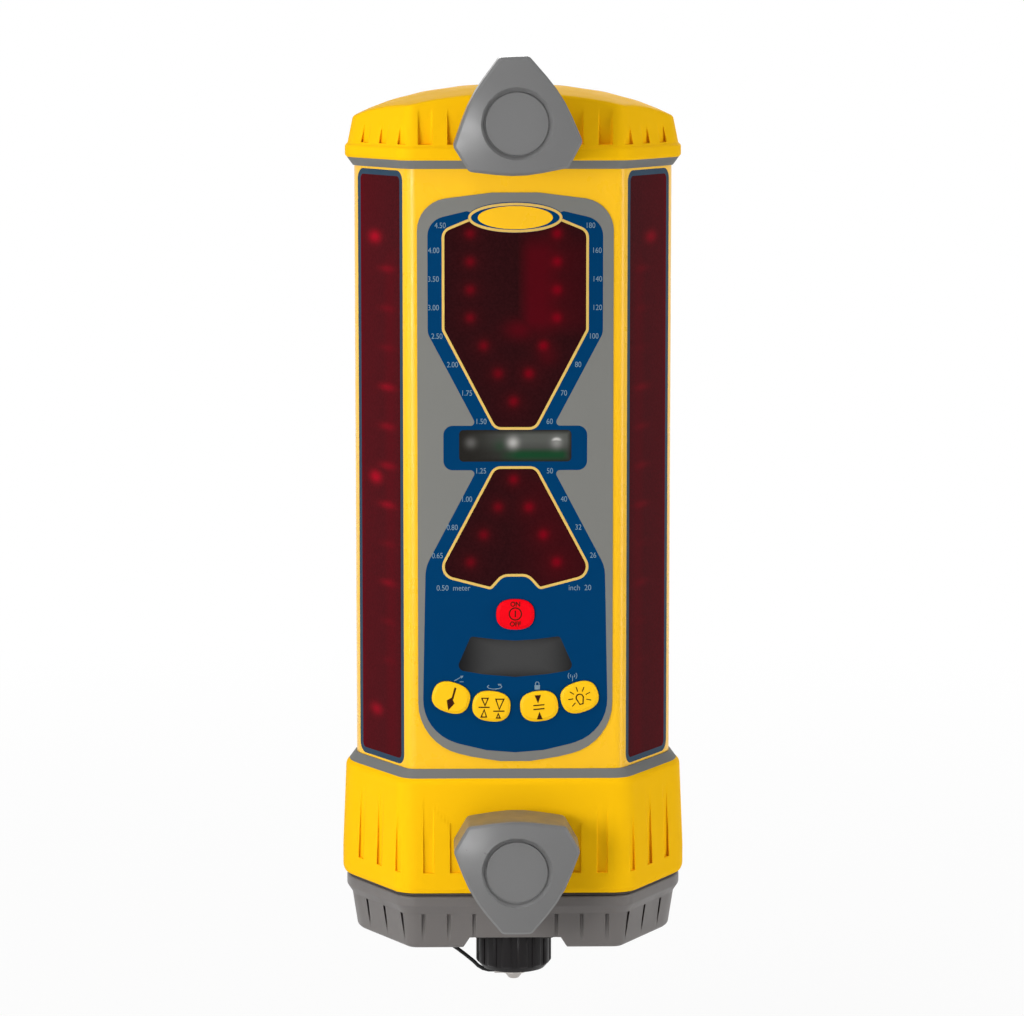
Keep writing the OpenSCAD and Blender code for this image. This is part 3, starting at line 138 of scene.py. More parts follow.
level_back = Vector((math.sin(view_azimuth), -math.cos(view_azimuth), 0)) * math.cos(view_elevation)
view_back = level_back + Vector((0, 0, math.sin(view_elevation)))
camera = in_scene("camera", bpy.data.cameras.new("camera"))
camera.data.lens = view_lens
camera.location = view_target + view_back * view_distance
camera.rotation_euler = (-view_back).to_track_quat("-Z", "Y").to_euler()
bpy.context.scene.camera = camera
bpy.context.scene.view_settings.view_transform = "Standard"
for lamp_sizes in studio_lamps:
    soft_lamp(*lamp_sizes)

surround = bpy.data.worlds.new("white_surround")
surround.use_nodes = True
sky = surround.node_tree
sky_light = wire(sky, "MapRange", {"Value": seen_directly(sky), "To Min": room_light, "To Max": 1.0})[0]
sky.links.new(sky_light, sky.nodes["Background"].inputs["Strength"])
sky.nodes["Background"].inputs["Color"].default_value = white
bpy.context.scene.world = surround

floor_mesh = bpy.data.meshes.new("floor")
floor_signs = ((-1, -1), (1, -1), (1, 1), (-1, 1))
floor_corners = [(floor_reach * x, floor_reach * y, floor_height) for x, y in floor_signs]
floor_mesh.from_pydata(floor_corners, [], [range(4)])
floor = in_scene("floor", floor_mesh)
floor_finish = bpy.data.materials.new("white_floor")
floor_finish.use_nodes = True
floor_tree = floor_finish.node_tree
matt_floor = wire(floor_tree, "BsdfDiffuse", {"Color": floor_grey})[0]
bright_floor = wire(floor_tree, "Emission", {"Color": white, "Strength": 1})[0]
floor_way = wire(floor_tree, "VectorMath", {0: wire(floor_tree, "TexCoord")["Object"]}, operation="LENGTH")
floor_white = wire(floor_tree, "MapRange", {"Value": floor_way["Value"], "From Min": floor_near,
                                            "From Max": floor_far, "To Min": floor_near_white, "To Max": 1.0})
floor_seen = seen_directly(floor_tree)
floor_share = wire(floor_tree, "Math", {0: floor_seen, 1: floor_white[0]}, operation="MULTIPLY")
floor_mix = wire(floor_tree, "MixShader", {0: floor_share[0], 1: matt_floor, 2: bright_floor})
floor_tree.links.new(floor_mix[0], floor_tree.nodes["Material Output"].inputs["Surface"])
floor_mesh.materials.append(floor_finish)

# The main housing: one yellow moulded tube of bevelled section, with frames for four light windows,
# a recess for the display panel and a channel for the mast behind. Tie rods hold it between its ends.
finishes = {}
slot_of = {part["node"]: part["material_slot"] for part in frame["record"]["subparts"]}
mottle_size, scuff_size = 45 * mm, 9 * mm
weld = 0.002 * mm
flat_turn = math.radians(0.4)
edge_crease = 35


def tint(red, green, blue):
    """A colour given as the eye reads it, from 0 to 255."""
    shares = [channel / 255 for channel in (red, green, blue)]
    return tuple(s / 12.92 if s < 0.04045 else ((s + 0.055) / 1.055) ** 2.4 for s in shares) + (1,)


def shaded(colour, share):
    """The colour made lighter or darker by a share."""
    return tuple(min(1, channel * (1 + share)) for channel in colour[:3]) + (1,)


def blended(tree, factor, first, second):
    """Two colours mixed by a factor from 0 to 1."""
    return wire(tree, "Mix", {0: factor, 6: first, 7: second}, data_type="RGBA")[2]


def plain_finish(name, gloss, roughness, metal=0.0):
    """A new material and its shader, with the even values set on the shader itself."""
    finish = bpy.data.materials.new(name)
    finish.use_nodes = True
    shader = finish.node_tree.nodes["Principled BSDF"]
    shader.inputs["Specular IOR Level"].default_value = gloss
    shader.inputs["Roughness"].default_value = roughness
    shader.inputs["Metallic"].default_value = metal
    return finish, finish.node_tree, shader


def noise(tree, size, detail=3):
    """Cloudy noise with features of about that size, fixed to the piece."""
    place = wire(tree, "TexCoord")["Object"]
    return wire(tree, "TexNoise", {"Vector": place, "Scale": 1 / size, "Detail": detail})[0]


def grained(tree, shader, size, relief):
    """A fine moulded or cast grain in the surface."""
    bump = wire(tree, "Bump", {"Height": noise(tree, size, 2), "Strength": relief, "Distance": size / 3})
    tree.links.new(bump[0], shader.inputs["Normal"])


def moulded(name, colour, roughness=0.45, gloss=0.2, mottle=0.04, grain=0.45 * mm, relief=0.12, metal=0.0):
    """Moulded plastic or a painted casting: slightly uneven tone, a fine grain and faint scuffs."""
    finish, tree, shader = plain_finish(name, gloss, roughness, metal)
    tone = blended(tree, noise(tree, mottle_size), shaded(colour, -mottle), shaded(colour, mottle))
    tree.links.new(tone, shader.inputs["Base Color"])
    scuffs = {"Value": noise(tree, scuff_size, 6), "From Min": 0.3, "From Max": 0.7,
              "To Min": roughness - 0.05, "To Max": roughness + 0.07}
    tree.links.new(wire(tree, "MapRange", scuffs)[0], shader.inputs["Roughness"])
    grained(tree, shader, grain, relief)
    return finish


def welded(node):
    """A copy of a part's own solid, with its loose triangles joined."""
    shape = bmesh.new()
    shape.from_mesh(frame["nodes"][node].data)
    bmesh.ops.remove_doubles(shape, verts=shape.verts, dist=weld)
    return shape


def merged_copy(node):
    """A copy of a part's own solid, with its flat faces made whole."""
    shape = welded(node)
    bmesh.ops.dissolve_limit(shape, angle_limit=flat_turn, verts=shape.verts, edges=shape.edges)
    return shape


def body_of(node):
    """The moving body that carries a node."""
    return frame["nodes"][node]["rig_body"]


def smoothed(mesh, crease):
    """Smooth shading, but for the edges that turn by more than the crease."""
    mesh.shade_smooth()
    mesh.set_sharp_from_angle(angle=math.radians(crease))


def shown(name, shape, finish, crease=edge_crease):
    """A mesh made from a shape, smooth but for its creases, as an object with its finish."""
    mesh = bpy.data.meshes.new(name)
    shape.to_mesh(mesh)
    shape.free()
    if "custom_normal" in mesh.attributes:
        mesh.attributes.remove(mesh.attributes["custom_normal"])
    mesh.materials.clear()
    mesh.materials.append(finish)
    smoothed(mesh, crease)
    return in_scene(name, mesh)


def stands_for(piece, *nodes):
    """The piece takes the place of these nodes, on their body."""
    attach(piece, body_of(nodes[0]))
    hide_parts(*nodes)
    return piece


def softened(piece, edge, steps):
    """Small rounds along the piece's edges."""
    bevel = piece.modifiers.new("rounds", "BEVEL")
    bevel.width = edge
    bevel.segments = steps
    bevel.limit_method = "ANGLE"
    bevel.angle_limit = math.radians(edge_crease)
    bevel.use_clamp_overlap = True
    bevel.harden_normals = True


def as_built(name, node, finish, crease=edge_crease, edge=0, steps=2):
    """A part's own solid with its finish, and with small rounds where an edge is given."""
    piece = shown(name, merged_copy(node), finish, crease)
    if edge:
        softened(piece, edge, steps)
    return stands_for(piece, node)


yellow = tint(250, 192, 12)
finishes["housing_yellow"] = moulded("yellow_moulding", yellow, roughness=0.29, gloss=0.32, mottle=0.02)
as_built("housing_tube", "main_housing", finishes["housing_yellow"])

# Rubber gaskets: a grey ring over and under the housing that seals it to the cap and to the collar.
# They are cut and moulded rubber, squeezed between the mouldings by the tie rods.
finishes["gasket_grey"] = moulded("gasket_rubber", tint(113, 114, 112), roughness=0.62, gloss=0.1,
                                  mottle=0.05)
for end in ("top", "bottom"):
    as_built(end + "_gasket_ring", end + "_gasket", finishes["gasket_grey"])

# Light windows: dark red filter panes in the four bevels, each bedded in a dark blue seal.
# Painted glints show the photocells behind them as faint red dashes, brightest in the front left pane, and a
# few more painted glints make bright spots in the front panes; the outer edge is clearer.
cell_pitch = 16 * mm
first_cell_z = 70.3 * mm
cell_x = 51.6 * mm
cell_half_w, cell_half_h = 3 * mm, 1.4 * mm
cell_glint_shares = (0.3, 0.18, 0.14, 0.5, 0.36, 0.42, 0.5, 0.12, 0.32, 0.1, 0.08)
faint_share = 0.4
band_x = 50.2 * mm
band_top, band_full = 84 * mm, 70 * mm
depth_share, band_share = 0.35, 0.45
pane_step, pane_row = 1.6 * mm, 1 * mm
pane_clear_edge = 2.6 * mm
stray_glint_r = 2.3 * mm
stray_glints = ((-56.4 * mm, 82.8 * mm, 0.95), (-56.4 * mm, -15.1 * mm, 0.95), (-56.4 * mm, -111.2 * mm, 0.6),
               (55.4 * mm, 82.8 * mm, 0.5))
speck_size, ripple_size = 0.9 * mm, 1.3 * mm
cut_snap = 0.001 * mm
upward = Vector((0, 0, 1))


def gridded(shape, along, step):
    """Cuts a shape into slices of about one step along a direction, so that points can carry a pattern."""
    reaches = [vert.co.dot(along) for vert in shape.verts]
    low, high = min(reaches), max(reaches)
    slices = int((high - low) / step)
    for k in range(1, slices):
        place = along * (low + (high - low) * k / slices)
        everything = shape.verts[:] + shape.edges[:] + shape.faces[:]
        bmesh.ops.bisect_plane(shape, geom=everything, plane_co=place, plane_no=along, dist=cut_snap)


def patterned(piece, name, rule):
    """Stores a rule of place at each point of the piece, for its finish to read."""
    pattern = piece.data.attributes.new(name, "FLOAT", "POINT")
    pattern.data.foreach_set("value", [rule(vert.co) for vert in piece.data.vertices])


def bell(distance, width):
    """A soft spot: 1 in the middle, fading over its width."""
    return math.exp(-(distance / width) ** 2)


def ramp(place, start, end):
    """0 before the start, 1 after the end, and an even slope between."""
    return max(0, min(1, (place - start) / (end - start)))


def stored(tree, name):
    """A pattern stored on the piece's points."""
    return wire(tree, "Attribute", attribute_name=name, attribute_type="GEOMETRY")["Fac"]


def pane_finish(name, deep, clear, spot, speckle, gloss=0.05, board=None):
    """Dark filter plastic: deep in the body, clearer where the pattern says, with fine speckle. Its patterns
    also carry painted light: glints, sheen, stray light and shade.
    """
    finish, tree, shader = plain_finish(name, gloss, roughness=0.2)
    speck = wire(tree, "MapRange", {"Value": noise(tree, speck_size, 4), "From Min": 0.35, "From Max": 0.65})
    body = blended(tree, speck[0], shaded(deep, -speckle), shaded(deep, speckle))
    edge = blended(tree, stored(tree, "clear"), body, clear)
    if board:
        edge = blended(tree, stored(tree, "board"), edge, board)
    tree.links.new(blended(tree, stored(tree, "lamp"), edge, spot), shader.inputs["Base Color"])
    grained(tree, shader, ripple_size, 0.02)
    return finish


def window_pane(place):
    """One pane, with its painted glints over the cells and in front, and its clear outer edge, stored on its
    points.
    """
    low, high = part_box(place + "_window")
    side = 1 if low.x > 0 else -1
    facing = -1 if "front" in place else 1
    # The front left pane, the most lit, gets the full painted glints, and the others a faint share.
    strength = 1 if place == "front_left" else faint_share
    bevel_way = Vector((side * (high.x - low.x), -facing * (high.y - low.y), 0)).normalized()
    shape = merged_copy(place + "_window")
    gridded(shape, upward, pane_row)
    gridded(shape, bevel_way, pane_step)
    pane = shown(place + "_pane", shape, finishes["window_red"])
    reaches = [vert.co.dot(bevel_way) for vert in pane.data.vertices]
    inner, outer = min(reaches), max(reaches)

    def cell_and_stray_glints(co):
        """Painted glints: the cells' dashes, and a few stray glints in the front panes."""
        row = min(max(round((first_cell_z - co.z) / cell_pitch), 0), len(cell_glint_shares) - 1)
        off_z = (co.z - first_cell_z + row * cell_pitch) / cell_half_h
        cell_glint = cell_glint_shares[row] * bell(math.hypot((side * co.x - cell_x) / cell_half_w, off_z), 1)
        stray = max(share * bell(math.hypot(co.x - x, co.z - z), stray_glint_r) for x, z, share in stray_glints)
        return max(strength * cell_glint, stray if facing < 0 else 0)

    def clear_edge(co):
        """The clear outer edge, and a paler band in front of the cells."""
        reach = co.dot(bevel_way)
        band = bell(side * co.x - band_x, cell_half_w) * ramp(co.z, band_top, band_full)
        depth = ramp(reach, inner, outer)
        return max(bell(outer - reach, pane_clear_edge), depth_share * depth, band_share * band)

    patterned(pane, "lamp", cell_and_stray_glints)
    patterned(pane, "clear", clear_edge)
    stands_for(pane, place + "_window")


# The spot colour is that of the painted glints.
finishes["window_red"] = pane_finish("window_filter", deep=tint(66, 12, 18), clear=tint(92, 1, 14),
                                     spot=tint(160, 4, 30), speckle=0.2, gloss=0.01)
for place in ("front_left", "front_right", "rear_left", "rear_right"):
    window_pane(place)
finishes["window_blue"] = moulded("seal_blue", tint(30, 58, 80), roughness=0.4, gloss=0.1, mottle=0.08)
as_built("window_borders", "window_seals", finishes["window_blue"])

# Display panel: a satin grey overlay let into the housing's front, with a blue film let into it.
# Both are screen printed on the back, so their colours are even under a faint satin grain.
finishes["panel_grey"] = moulded("overlay_grey", tint(121, 121, 117), roughness=0.5, gloss=0.1, mottle=0.02)
finishes["film_blue"] = moulded("film_blue", tint(1, 57, 101), roughness=0.42, gloss=0.015, mottle=0.05,
                                relief=0.06)
as_built("panel_overlay", "panel_plate", finishes["panel_grey"])
as_built("blue_film", "panel_film", finishes["film_blue"])

# Lamp lenses: two dark red lenses over the rows of lamps, that fan out from the on-grade mark.
# The lamps show through them as soft red spots, with some stray light on the right.
lamp_pitch = 11.22 * mm
lamp_columns = [0, 6.2 * mm, 12 * mm, 17.4 * mm]
lamp_spot = 1.9 * mm
lamp_shift = -0.7 * mm
upper_lamp_z, lower_lamp_z = 17.9 * mm, -13.6 * mm
dim_x, bright_x = -8 * mm, 10 * mm
dim_share, bright_gain = 0.62, 0.34
spot_share, halo_share = 0.85, 0.1
sheet_x, sheet_fade_x = (0.8 * mm, 6 * mm), (11 * mm, 19 * mm)
sheet_low_z, sheet_top_z = (43 * mm, 50 * mm), (87 * mm, 78 * mm)
sheet_share, sheet_fade = 0.75, 0.7
patch_r = 4 * mm
low_share, right_share, lower_share = 0.75, 0.35, 0.22
low_squash = 0.7
low_patch_x, low_patch_z = 1.5 * mm, 46.8 * mm
right_patch_x, right_patch_z = 13 * mm, 36 * mm
lower_x, lower_z = (-4 * mm, 14 * mm), (-8 * mm, -16 * mm)
lens_step = 0.8 * mm
across = Vector((1, 0, 0))


def lamp_places(first_z, step, rows):
    """Lamps one over another, in pairs that spread until they reach the last column."""
    return [(lamp_shift + side * lamp_columns[min(n, len(lamp_columns) - 1)], first_z + n * step)
            for n in range(rows) for side in (-1, 1)]


def lens_piece(node, finish, rules, step=lens_step):
    """A lens cut into a fine grid, with its lamps and its clear places stored on the points."""
    shape = merged_copy(node)
    gridded(shape, upward, step)
    gridded(shape, across, step)
    piece = shown(node + "_pane", shape, finish)
    for pattern, rule in rules.items():
        patterned(piece, pattern, rule)
    return stands_for(piece, node)


def stray_light(co):
    """Where stray light clears the lenses: a broad sheet on the right, and soft patches."""
    sheet = ramp(co.x, *sheet_x) * ramp(co.z, *sheet_low_z) * ramp(co.z, *sheet_top_z)
    broad = sheet_share * sheet * (1 - sheet_fade * ramp(co.x, *sheet_fade_x))
    low_off = math.hypot(low_squash * (co.x - low_patch_x), co.z - low_patch_z)
    low_patch = low_share * bell(low_off, patch_r)
    right_patch = right_share * bell(math.hypot(co.x - right_patch_x, co.z - right_patch_z), patch_r)
    lower_patch = lower_share * ramp(co.x, *lower_x) * ramp(co.z, *lower_z)
    return min(1, max(broad, low_patch, right_patch, lower_patch))


def lamp_lens(node, first_z, step, rows):
    """A lens over its rows of lamps, which are brighter on the right."""
    lamps = lamp_places(first_z, step, rows)

    def lamp_glow(co):
        """The spot and the halo of the nearest lamp."""
        x, z = min(lamps, key=lambda lamp: math.hypot(co.x - lamp[0], co.z - lamp[1]))
        off = math.hypot(co.x - x, co.z - z)
        strength = dim_share + bright_gain * ramp(x, dim_x, bright_x)
        return strength * (spot_share * bell(off, lamp_spot) + halo_share * bell(off, 3 * lamp_spot))

    lens_piece(node, finishes["lens_red"], {"lamp": lamp_glow, "clear": stray_light})


finishes["lens_red"] = pane_finish("lamp_lens_red", deep=tint(42, 12, 15), clear=tint(86, 6, 18),
                                   spot=tint(124, 4, 22), speckle=0.16, gloss=0.02)
lamp_lens("upper_lens", upper_lamp_z, lamp_pitch, rows=7)
lamp_lens("lower_lens", lower_lamp_z, -lamp_pitch, rows=4)

# On-grade window and display window: smoke grey panes, flush with the film.
# Three clear lamps show in the first, over a green board, as pale spots with painted highlights and a painted
# sheen, and a dark liquid crystal display in the second, with painted shade towards its border.
grade_low, grade_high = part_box("grade_lens")
grade_lamps = ((-17.9 * mm, 0.14), (-0.9 * mm, 0.6), (16.6 * mm, 0.3))
grade_lamp_z = 1.3 * mm
grade_lamp_r = 2.2 * mm
glint_r, glint_w, glint_drop = 1.7 * mm, 0.7 * mm, 0.4 * mm
glint_z, glint_share = (1.6 * mm, 2.6 * mm), 0.95
grade_border = 2 * mm
sheen_x, sheen_z = (-18 * mm, 4 * mm), (-3 * mm, 2 * mm)
sheen_low, sheen_gain = 0.3, 0.7
board_z, board_left_x, board_right_x = (-0.6 * mm, -3 * mm), (-7 * mm, 1 * mm), (22 * mm, 19 * mm)
board_spot_x, board_spot_r = -6 * mm, 2.5 * mm
board_share, board_spot_share = 0.9, 0.4
grade_step = 0.4 * mm


def grade_lamps_and_glint(co):
    """The three clear lamps as pale spots, partly their own colour and partly painted highlight, with a
    painted glint over the right one.
    """
    glow = max(share * bell(math.hypot(co.x - x, co.z - grade_lamp_z), grade_lamp_r)
               for x, share in grade_lamps)
    off = math.hypot(co.x - grade_lamps[-1][0], co.z - grade_lamp_z + glint_drop)
    return max(glow, glint_share * bell(off - glint_r, glint_w) * ramp(co.z, *glint_z))


def grade_edge(co):
    """0 along the window's border and 1 inside it."""
    inside = min(co.x - grade_low.x, grade_high.x - co.x, co.z - grade_low.z, grade_high.z - co.z)
    return ramp(inside, 0, grade_border)


def grade_sheen(co):
    """Pale light that grows to the right and upwards."""
    return grade_edge(co) * ramp(co.x, *sheen_x) * (sheen_low + sheen_gain * ramp(co.z, *sheen_z))


def grade_board(co):
    """The green board, seen low on the right and in one spot."""
    low = ramp(co.z, *board_z) * ramp(co.x, *board_right_x) * ramp(co.x, *board_left_x)
    spot = bell(math.hypot(co.x - board_spot_x, co.z), board_spot_r)
    return grade_edge(co) * max(board_share * low, board_spot_share * spot)


# The clear colour is the painted sheen, and the spot colour is the lamps' pale spots and painted highlights.
finishes["lens_smoke"] = pane_finish("smoke_window", deep=tint(33, 31, 28), clear=tint(82, 84, 80),
                                     spot=tint(206, 204, 200), speckle=0.06, board=tint(12, 64, 35))
grade_rules = {"lamp": grade_lamps_and_glint, "clear": grade_sheen, "board": grade_board}
lens_piece("grade_lens", finishes["lens_smoke"], grade_rules, grade_step)

display_low, display_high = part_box("lcd_lens")
display_middle = (display_low + display_high) / 2
display_grey = tint(64, 64, 64)
display_shift, display_fade = 0.03, 0.8
display_across, display_up = 2.1, 1.8
finishes["lcd_dark"] = pane_finish("display_window", tint(15, 15, 17), display_grey, display_grey,
                                   speckle=0.06)


def display_grey_and_shade(co):
    """The grey of the display, fading to dark towards the window's border as painted shade."""
    off_x = (co.x - display_middle.x) / (display_high.x - display_low.x)
    off_z = (co.z - display_middle.z) / (display_high.z - display_low.z)
    off = max(abs(off_x - display_shift) * display_across, abs(off_z) * display_up)
    return bell(off ** 2, display_fade)


lens_piece("lcd_lens", finishes["lcd_dark"], {"lamp": lambda co: 0, "clear": display_grey_and_shade})

# Printing on the film: pale lines round the lenses, an empty badge, and plain scale figures beside the lamps.
# It is screen printed, a few hundredths of a millimetre thick, and the badge is a thin label on top.
film_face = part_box("panel_film")[0].y
ink_lift, ink_sink = 0.03 * mm, 0.02 * mm
keyline_w = 1.05 * mm
badge_z = 91.6 * mm
badge_ring_sizes = (18.3 * mm, 5.4 * mm)
badge_ground_sizes = (18.95 * mm, 6.05 * mm)
badge_blank_sizes = (15 * mm, 4.6 * mm)
lobe_sizes = ((20.6 * mm, 7.65 * mm), (19.2 * mm, 6.3 * mm))
lobe_start, lobe_end, lobe_steps = 20, 160, 24


def ink(name, colour):
    """Screen ink: nearly even, with a faint grain."""
    return moulded(name, colour, roughness=0.5, gloss=0.08, mottle=0.02, grain=0.3 * mm, relief=0.04)


def printed(name, polygons, finish, body="receiver", face=film_face, lift=ink_lift):
    """Thin ink in the shape of flat polygons of x and z, on a face that looks forward."""
    shape = bmesh.new()
    for polygon in polygons:
        top = [shape.verts.new((x, face - lift, z)) for x, z in polygon]
        skin = shape.faces.new(top)
        skin.normal_update()
        if skin.normal.y > 0:
            skin.normal_flip()
        walls = bmesh.ops.extrude_face_region(shape, geom=[skin], use_keep_orig=True)
        for vert in (v for v in walls["geom"] if isinstance(v, bmesh.types.BMVert)):
            vert.co.y = face + ink_sink
    bmesh.ops.triangulate(shape, faces=shape.faces)
    bmesh.ops.recalc_face_normals(shape, faces=shape.faces)
    piece = shown(name, shape, finish)
    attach(piece, body)
    return piece


def front_outline(node):
    """The outline of a flat pane's front face, point by point."""
    shape = welded(node)
    rim = [e for e in shape.edges if sorted(f.normal.y < -0.9 for f in e.link_faces) == [False, True]]
    links = {}
    for edge in rim:
        for vert in edge.verts:
            links.setdefault(vert, []).append(edge.other_vert(vert))
    start = next(iter(links))
    loop, last = [start], None
    while len(loop) == 1 or loop[-1] is not start:
        step = [v for v in links[loop[-1]] if v is not last][0]
        last = loop[-1]
        loop.append(step)
    points = [(vert.co.x, vert.co.z) for vert in loop[:-1]]
    shape.free()
    return points


def line_along(points, width, closed):
    """A line of even width along points, as flat four-sided pieces between its two edges."""
    count = len(points)
    edges = []
    for i, (x, z) in enumerate(points):
        before = points[i - 1] if closed or i else points[i]
        after = points[(i + 1) % count] if closed or i < count - 1 else points[i]
        first = Vector((x - before[0], z - before[1])).normalized() if before != (x, z) else None
        second = Vector((after[0] - x, after[1] - z)).normalized() if after != (x, z) else None
        way = ((first or second) + (second or first)).normalized()
        reach = width / 2 / max(0.5, way.dot(first or second))
        edges.append(((x - way.y * reach, z + way.x * reach), (x + way.y * reach, z - way.x * reach)))
    following = edges[1:] + edges[:1] if closed else edges[1:]
    return [(*here, *reversed(there)) for here, there in zip(edges, following)]


def ellipse(x, z, half_w, half_h, points=48):
    """Points round an ellipse."""
    turns = [2 * math.pi * k / points for k in range(points)]
    return [(x + half_w * math.cos(a), z + half_h * math.sin(a)) for a in turns]


pale_ink = ink("pale_yellow_ink", tint(220, 184, 98))
keylines = [line_along(front_outline(node), keyline_w, True) for node in ("upper_lens", "lower_lens")]
printed("pale_keylines", [q for line in keylines for q in line], pale_ink)
lobe_step = (lobe_end - lobe_start) / lobe_steps
lobe_turns = [math.radians(lobe_start + lobe_step * k) for k in range(lobe_steps + 1)]
outer_rim, inner_rim = [[(w * math.cos(a), badge_z + h * math.sin(a)) for a in lobe_turns]
                        for w, h in lobe_sizes]
lobe_border = [[outer_rim[k], outer_rim[k + 1], inner_rim[k + 1], inner_rim[k]] for k in range(lobe_steps)]
printed("badge_surround", lobe_border, finishes["panel_grey"])
printed("badge_ground", [ellipse(0, badge_z, *badge_ground_sizes)], finishes["film_blue"],
        lift=2 * ink_lift)
badge_ring = line_along(ellipse(0, badge_z, *badge_ring_sizes), keyline_w, True)
printed("badge_ring", badge_ring, pale_ink, lift=3 * ink_lift)
badge_blank = ellipse(0, badge_z, *badge_blank_sizes)
printed("badge_blank", [badge_blank], finishes["housing_yellow"], lift=4 * ink_lift)


def worked_out(piece):
    """A plain mesh of a piece, as its modifiers or its curve make it."""
    bpy.context.view_layer.update()
    return bpy.data.meshes.new_from_object(piece.evaluated_get(bpy.context.evaluated_depsgraph_get()))


def lettering(words, height, x, z, squeeze=1.0, weight=0.0):
    """Plain words as flat shapes in a new mesh, in the plane of x and z, centred on a place."""
    curve = bpy.data.curves.new("words", "FONT")
    curve.body = words
    curve.size = height
    curve.offset = weight
    curve.align_x = "CENTER"
    curve.align_y = "CENTER"
    curve.extrude = (ink_lift + ink_sink) / 2
    source = in_scene("words", curve)
    mesh = worked_out(source)
    bpy.data.objects.remove(source)
    bpy.data.curves.remove(curve)
    mesh.transform(Matrix.Diagonal((squeeze, 1, 1, 1)))
    mesh.transform(Matrix.Translation((x, 0, z)) @ Matrix.Rotation(math.radians(90), 4, "X"))
    return mesh


def words_piece(name, meshes, finish, body="receiver", face=film_face):
    """Several words joined in one piece on a face."""
    shape = bmesh.new()
    for mesh in meshes:
        mesh.transform(Matrix.Translation((0, face - (ink_lift - ink_sink) / 2, 0)))
        shape.from_mesh(mesh)
        bpy.data.meshes.remove(mesh)
    bmesh.ops.remove_doubles(shape, verts=shape.verts, dist=weld)
    piece = shown(name, shape, finish)
    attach(piece, body)
    return piece


figure_h = 3.15 * mm
figure_squeeze, unit_squeeze = 0.85, 0.92
figure_pitch = 11.45 * mm
upper_figure_z, lower_figure_z = 9.75 * mm, -10.25 * mm
figure_top = 88.4 * mm
unit_z = -57.8 * mm
upper_figures = (("1.50", "60", 13.8), ("1.75", "70", 19.5), ("2.00", "80", 25.2), ("2.50", "100", 31.4),
                 ("3.00", "120", 32.8), ("3.50", "140", 32.8), ("4.00", "160", 32.6), ("4.50", "180", 30.0))
lower_figures = (("1.25", "50", 13.9), ("1.00", "40", 19.6), ("0.80", "32", 25.4), ("0.65", "26", 31.4))
figure_meshes = []
for first_z, step, rows in ((upper_figure_z, figure_pitch, upper_figures),
                            (lower_figure_z, -figure_pitch, lower_figures)):
    for row, (metres, inches, half_gap) in enumerate(rows):
        z = min(first_z + row * step, figure_top)
        for words, x in ((metres, -half_gap * mm), (inches, half_gap * mm)):
            figure_meshes.append(lettering(words, figure_h, x, z, figure_squeeze))
for words, x in (("0.50  meter", -25.0), ("inch  20", 26.1)):
    figure_meshes.append(lettering(words, figure_h, x * mm, unit_z, unit_squeeze))
figure_ink = ink("figure_ink", tint(116, 140, 156))
words_piece("scale_figures", figure_meshes, figure_ink)

# Keys: five oval keycaps of hard plastic that stand a little out of the film, red for power and four yellow.
# Their signs are printed on top, and four small grey signs on the film name their second uses.
for slot, colour, gloss in (("key_red", tint(238, 6, 24), 0.04), ("key_yellow", tint(249, 194, 20), 0.12)):
    finishes[slot] = moulded(slot, colour, roughness=0.4, gloss=gloss, mottle=0.02, relief=0.05)
key_edge = 0.2 * mm
for key in ("power_key", "grade_key", "deadband_key", "offset_key", "lamp_key"):
    as_built(key + "_top", key, finishes[slot_of[key]], crease=25, edge=key_edge)
power_low, power_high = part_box("power_key")
power = (power_low + power_high) / 2
key_face = power_low.y
sign_ink = ink("sign_ink", tint(54, 20, 6))
stroke, thin_stroke = 0.5, 0.3
power_words_h = 2.7 * mm
power_words_squeeze, power_words_weight = 0.95, 0.07 * mm
on_rise, off_rise = 4.2 * mm, -3.9 * mm
power_sign_rise = 0.3


def to_scale(polygons):
    """Polygons drawn in millimetres, in metres."""
    return [[(x * mm, z * mm) for x, z in polygon] for polygon in polygons]


def moved(polygons, x, z):
    """Polygons moved to a place."""
    return [[(x + u, z + v) for u, v in polygon] for polygon in polygons]


def stroked(points, closed=False, width=stroke):
    """A thin line through points in millimetres."""
    return line_along(points, width, closed)


power_words = [lettering(words, power_words_h, power.x, power.z + rise, power_words_squeeze,
                         power_words_weight)
               for words, rise in (("ON", on_rise), ("OFF", off_rise))]
words_piece("power_words", power_words, sign_ink, "power_key", key_face)
power_sign = stroked(ellipse(0, 0, 2.45, 2.45, 32), True) + stroked([(0, -1.3), (0, 1.3)])
power_sign = moved(power_sign, power.x / mm, power.z / mm + power_sign_rise)
printed("power_sign", to_scale(power_sign), sign_ink, "power_key", key_face)

needle = stroked([(-24.2, -98.3), (-25.6, -103.2)], width=0.8)
needle += [[(-27.8, -103.5), (-25.8, -102.4), (-24.6, -104.8), (-27.2, -107.6)]]
narrow_pair = stroked([(-13.6, -102.7), (-11.0, -102.7), (-12.3, -105.7)], True)
narrow_pair += stroked([(-14.9, -106.4), (-10.4, -106.4)])
narrow_pair += stroked([(-12.6, -107.4), (-13.9, -110.4), (-11.7, -110.4)], True)
wide_pair = stroked([(-7.9, -103.1), (-4.65, -103.1), (-6.5, -107.3)], True)
wide_pair += stroked([(-8.95, -108), (-4.4, -108)])
wide_pair += stroked([(-6.9, -109), (-7.66, -110.8), (-6.2, -110.8)], True)
offset_marks = [[(7.8, -101.6), (10.4, -101.4), (9.2, -104.9)],
                [(9.8, -108.3), (8.7, -111.5), (11.1, -111.4)]]
offset_marks += stroked([(7.3, -105.8), (11.8, -105.4)]) + stroked([(7.3, -107.4), (11.8, -107)])
bulb_lean = math.radians(15)
bulb_turns = [math.radians(a) for a in range(-30, 211, 20)]
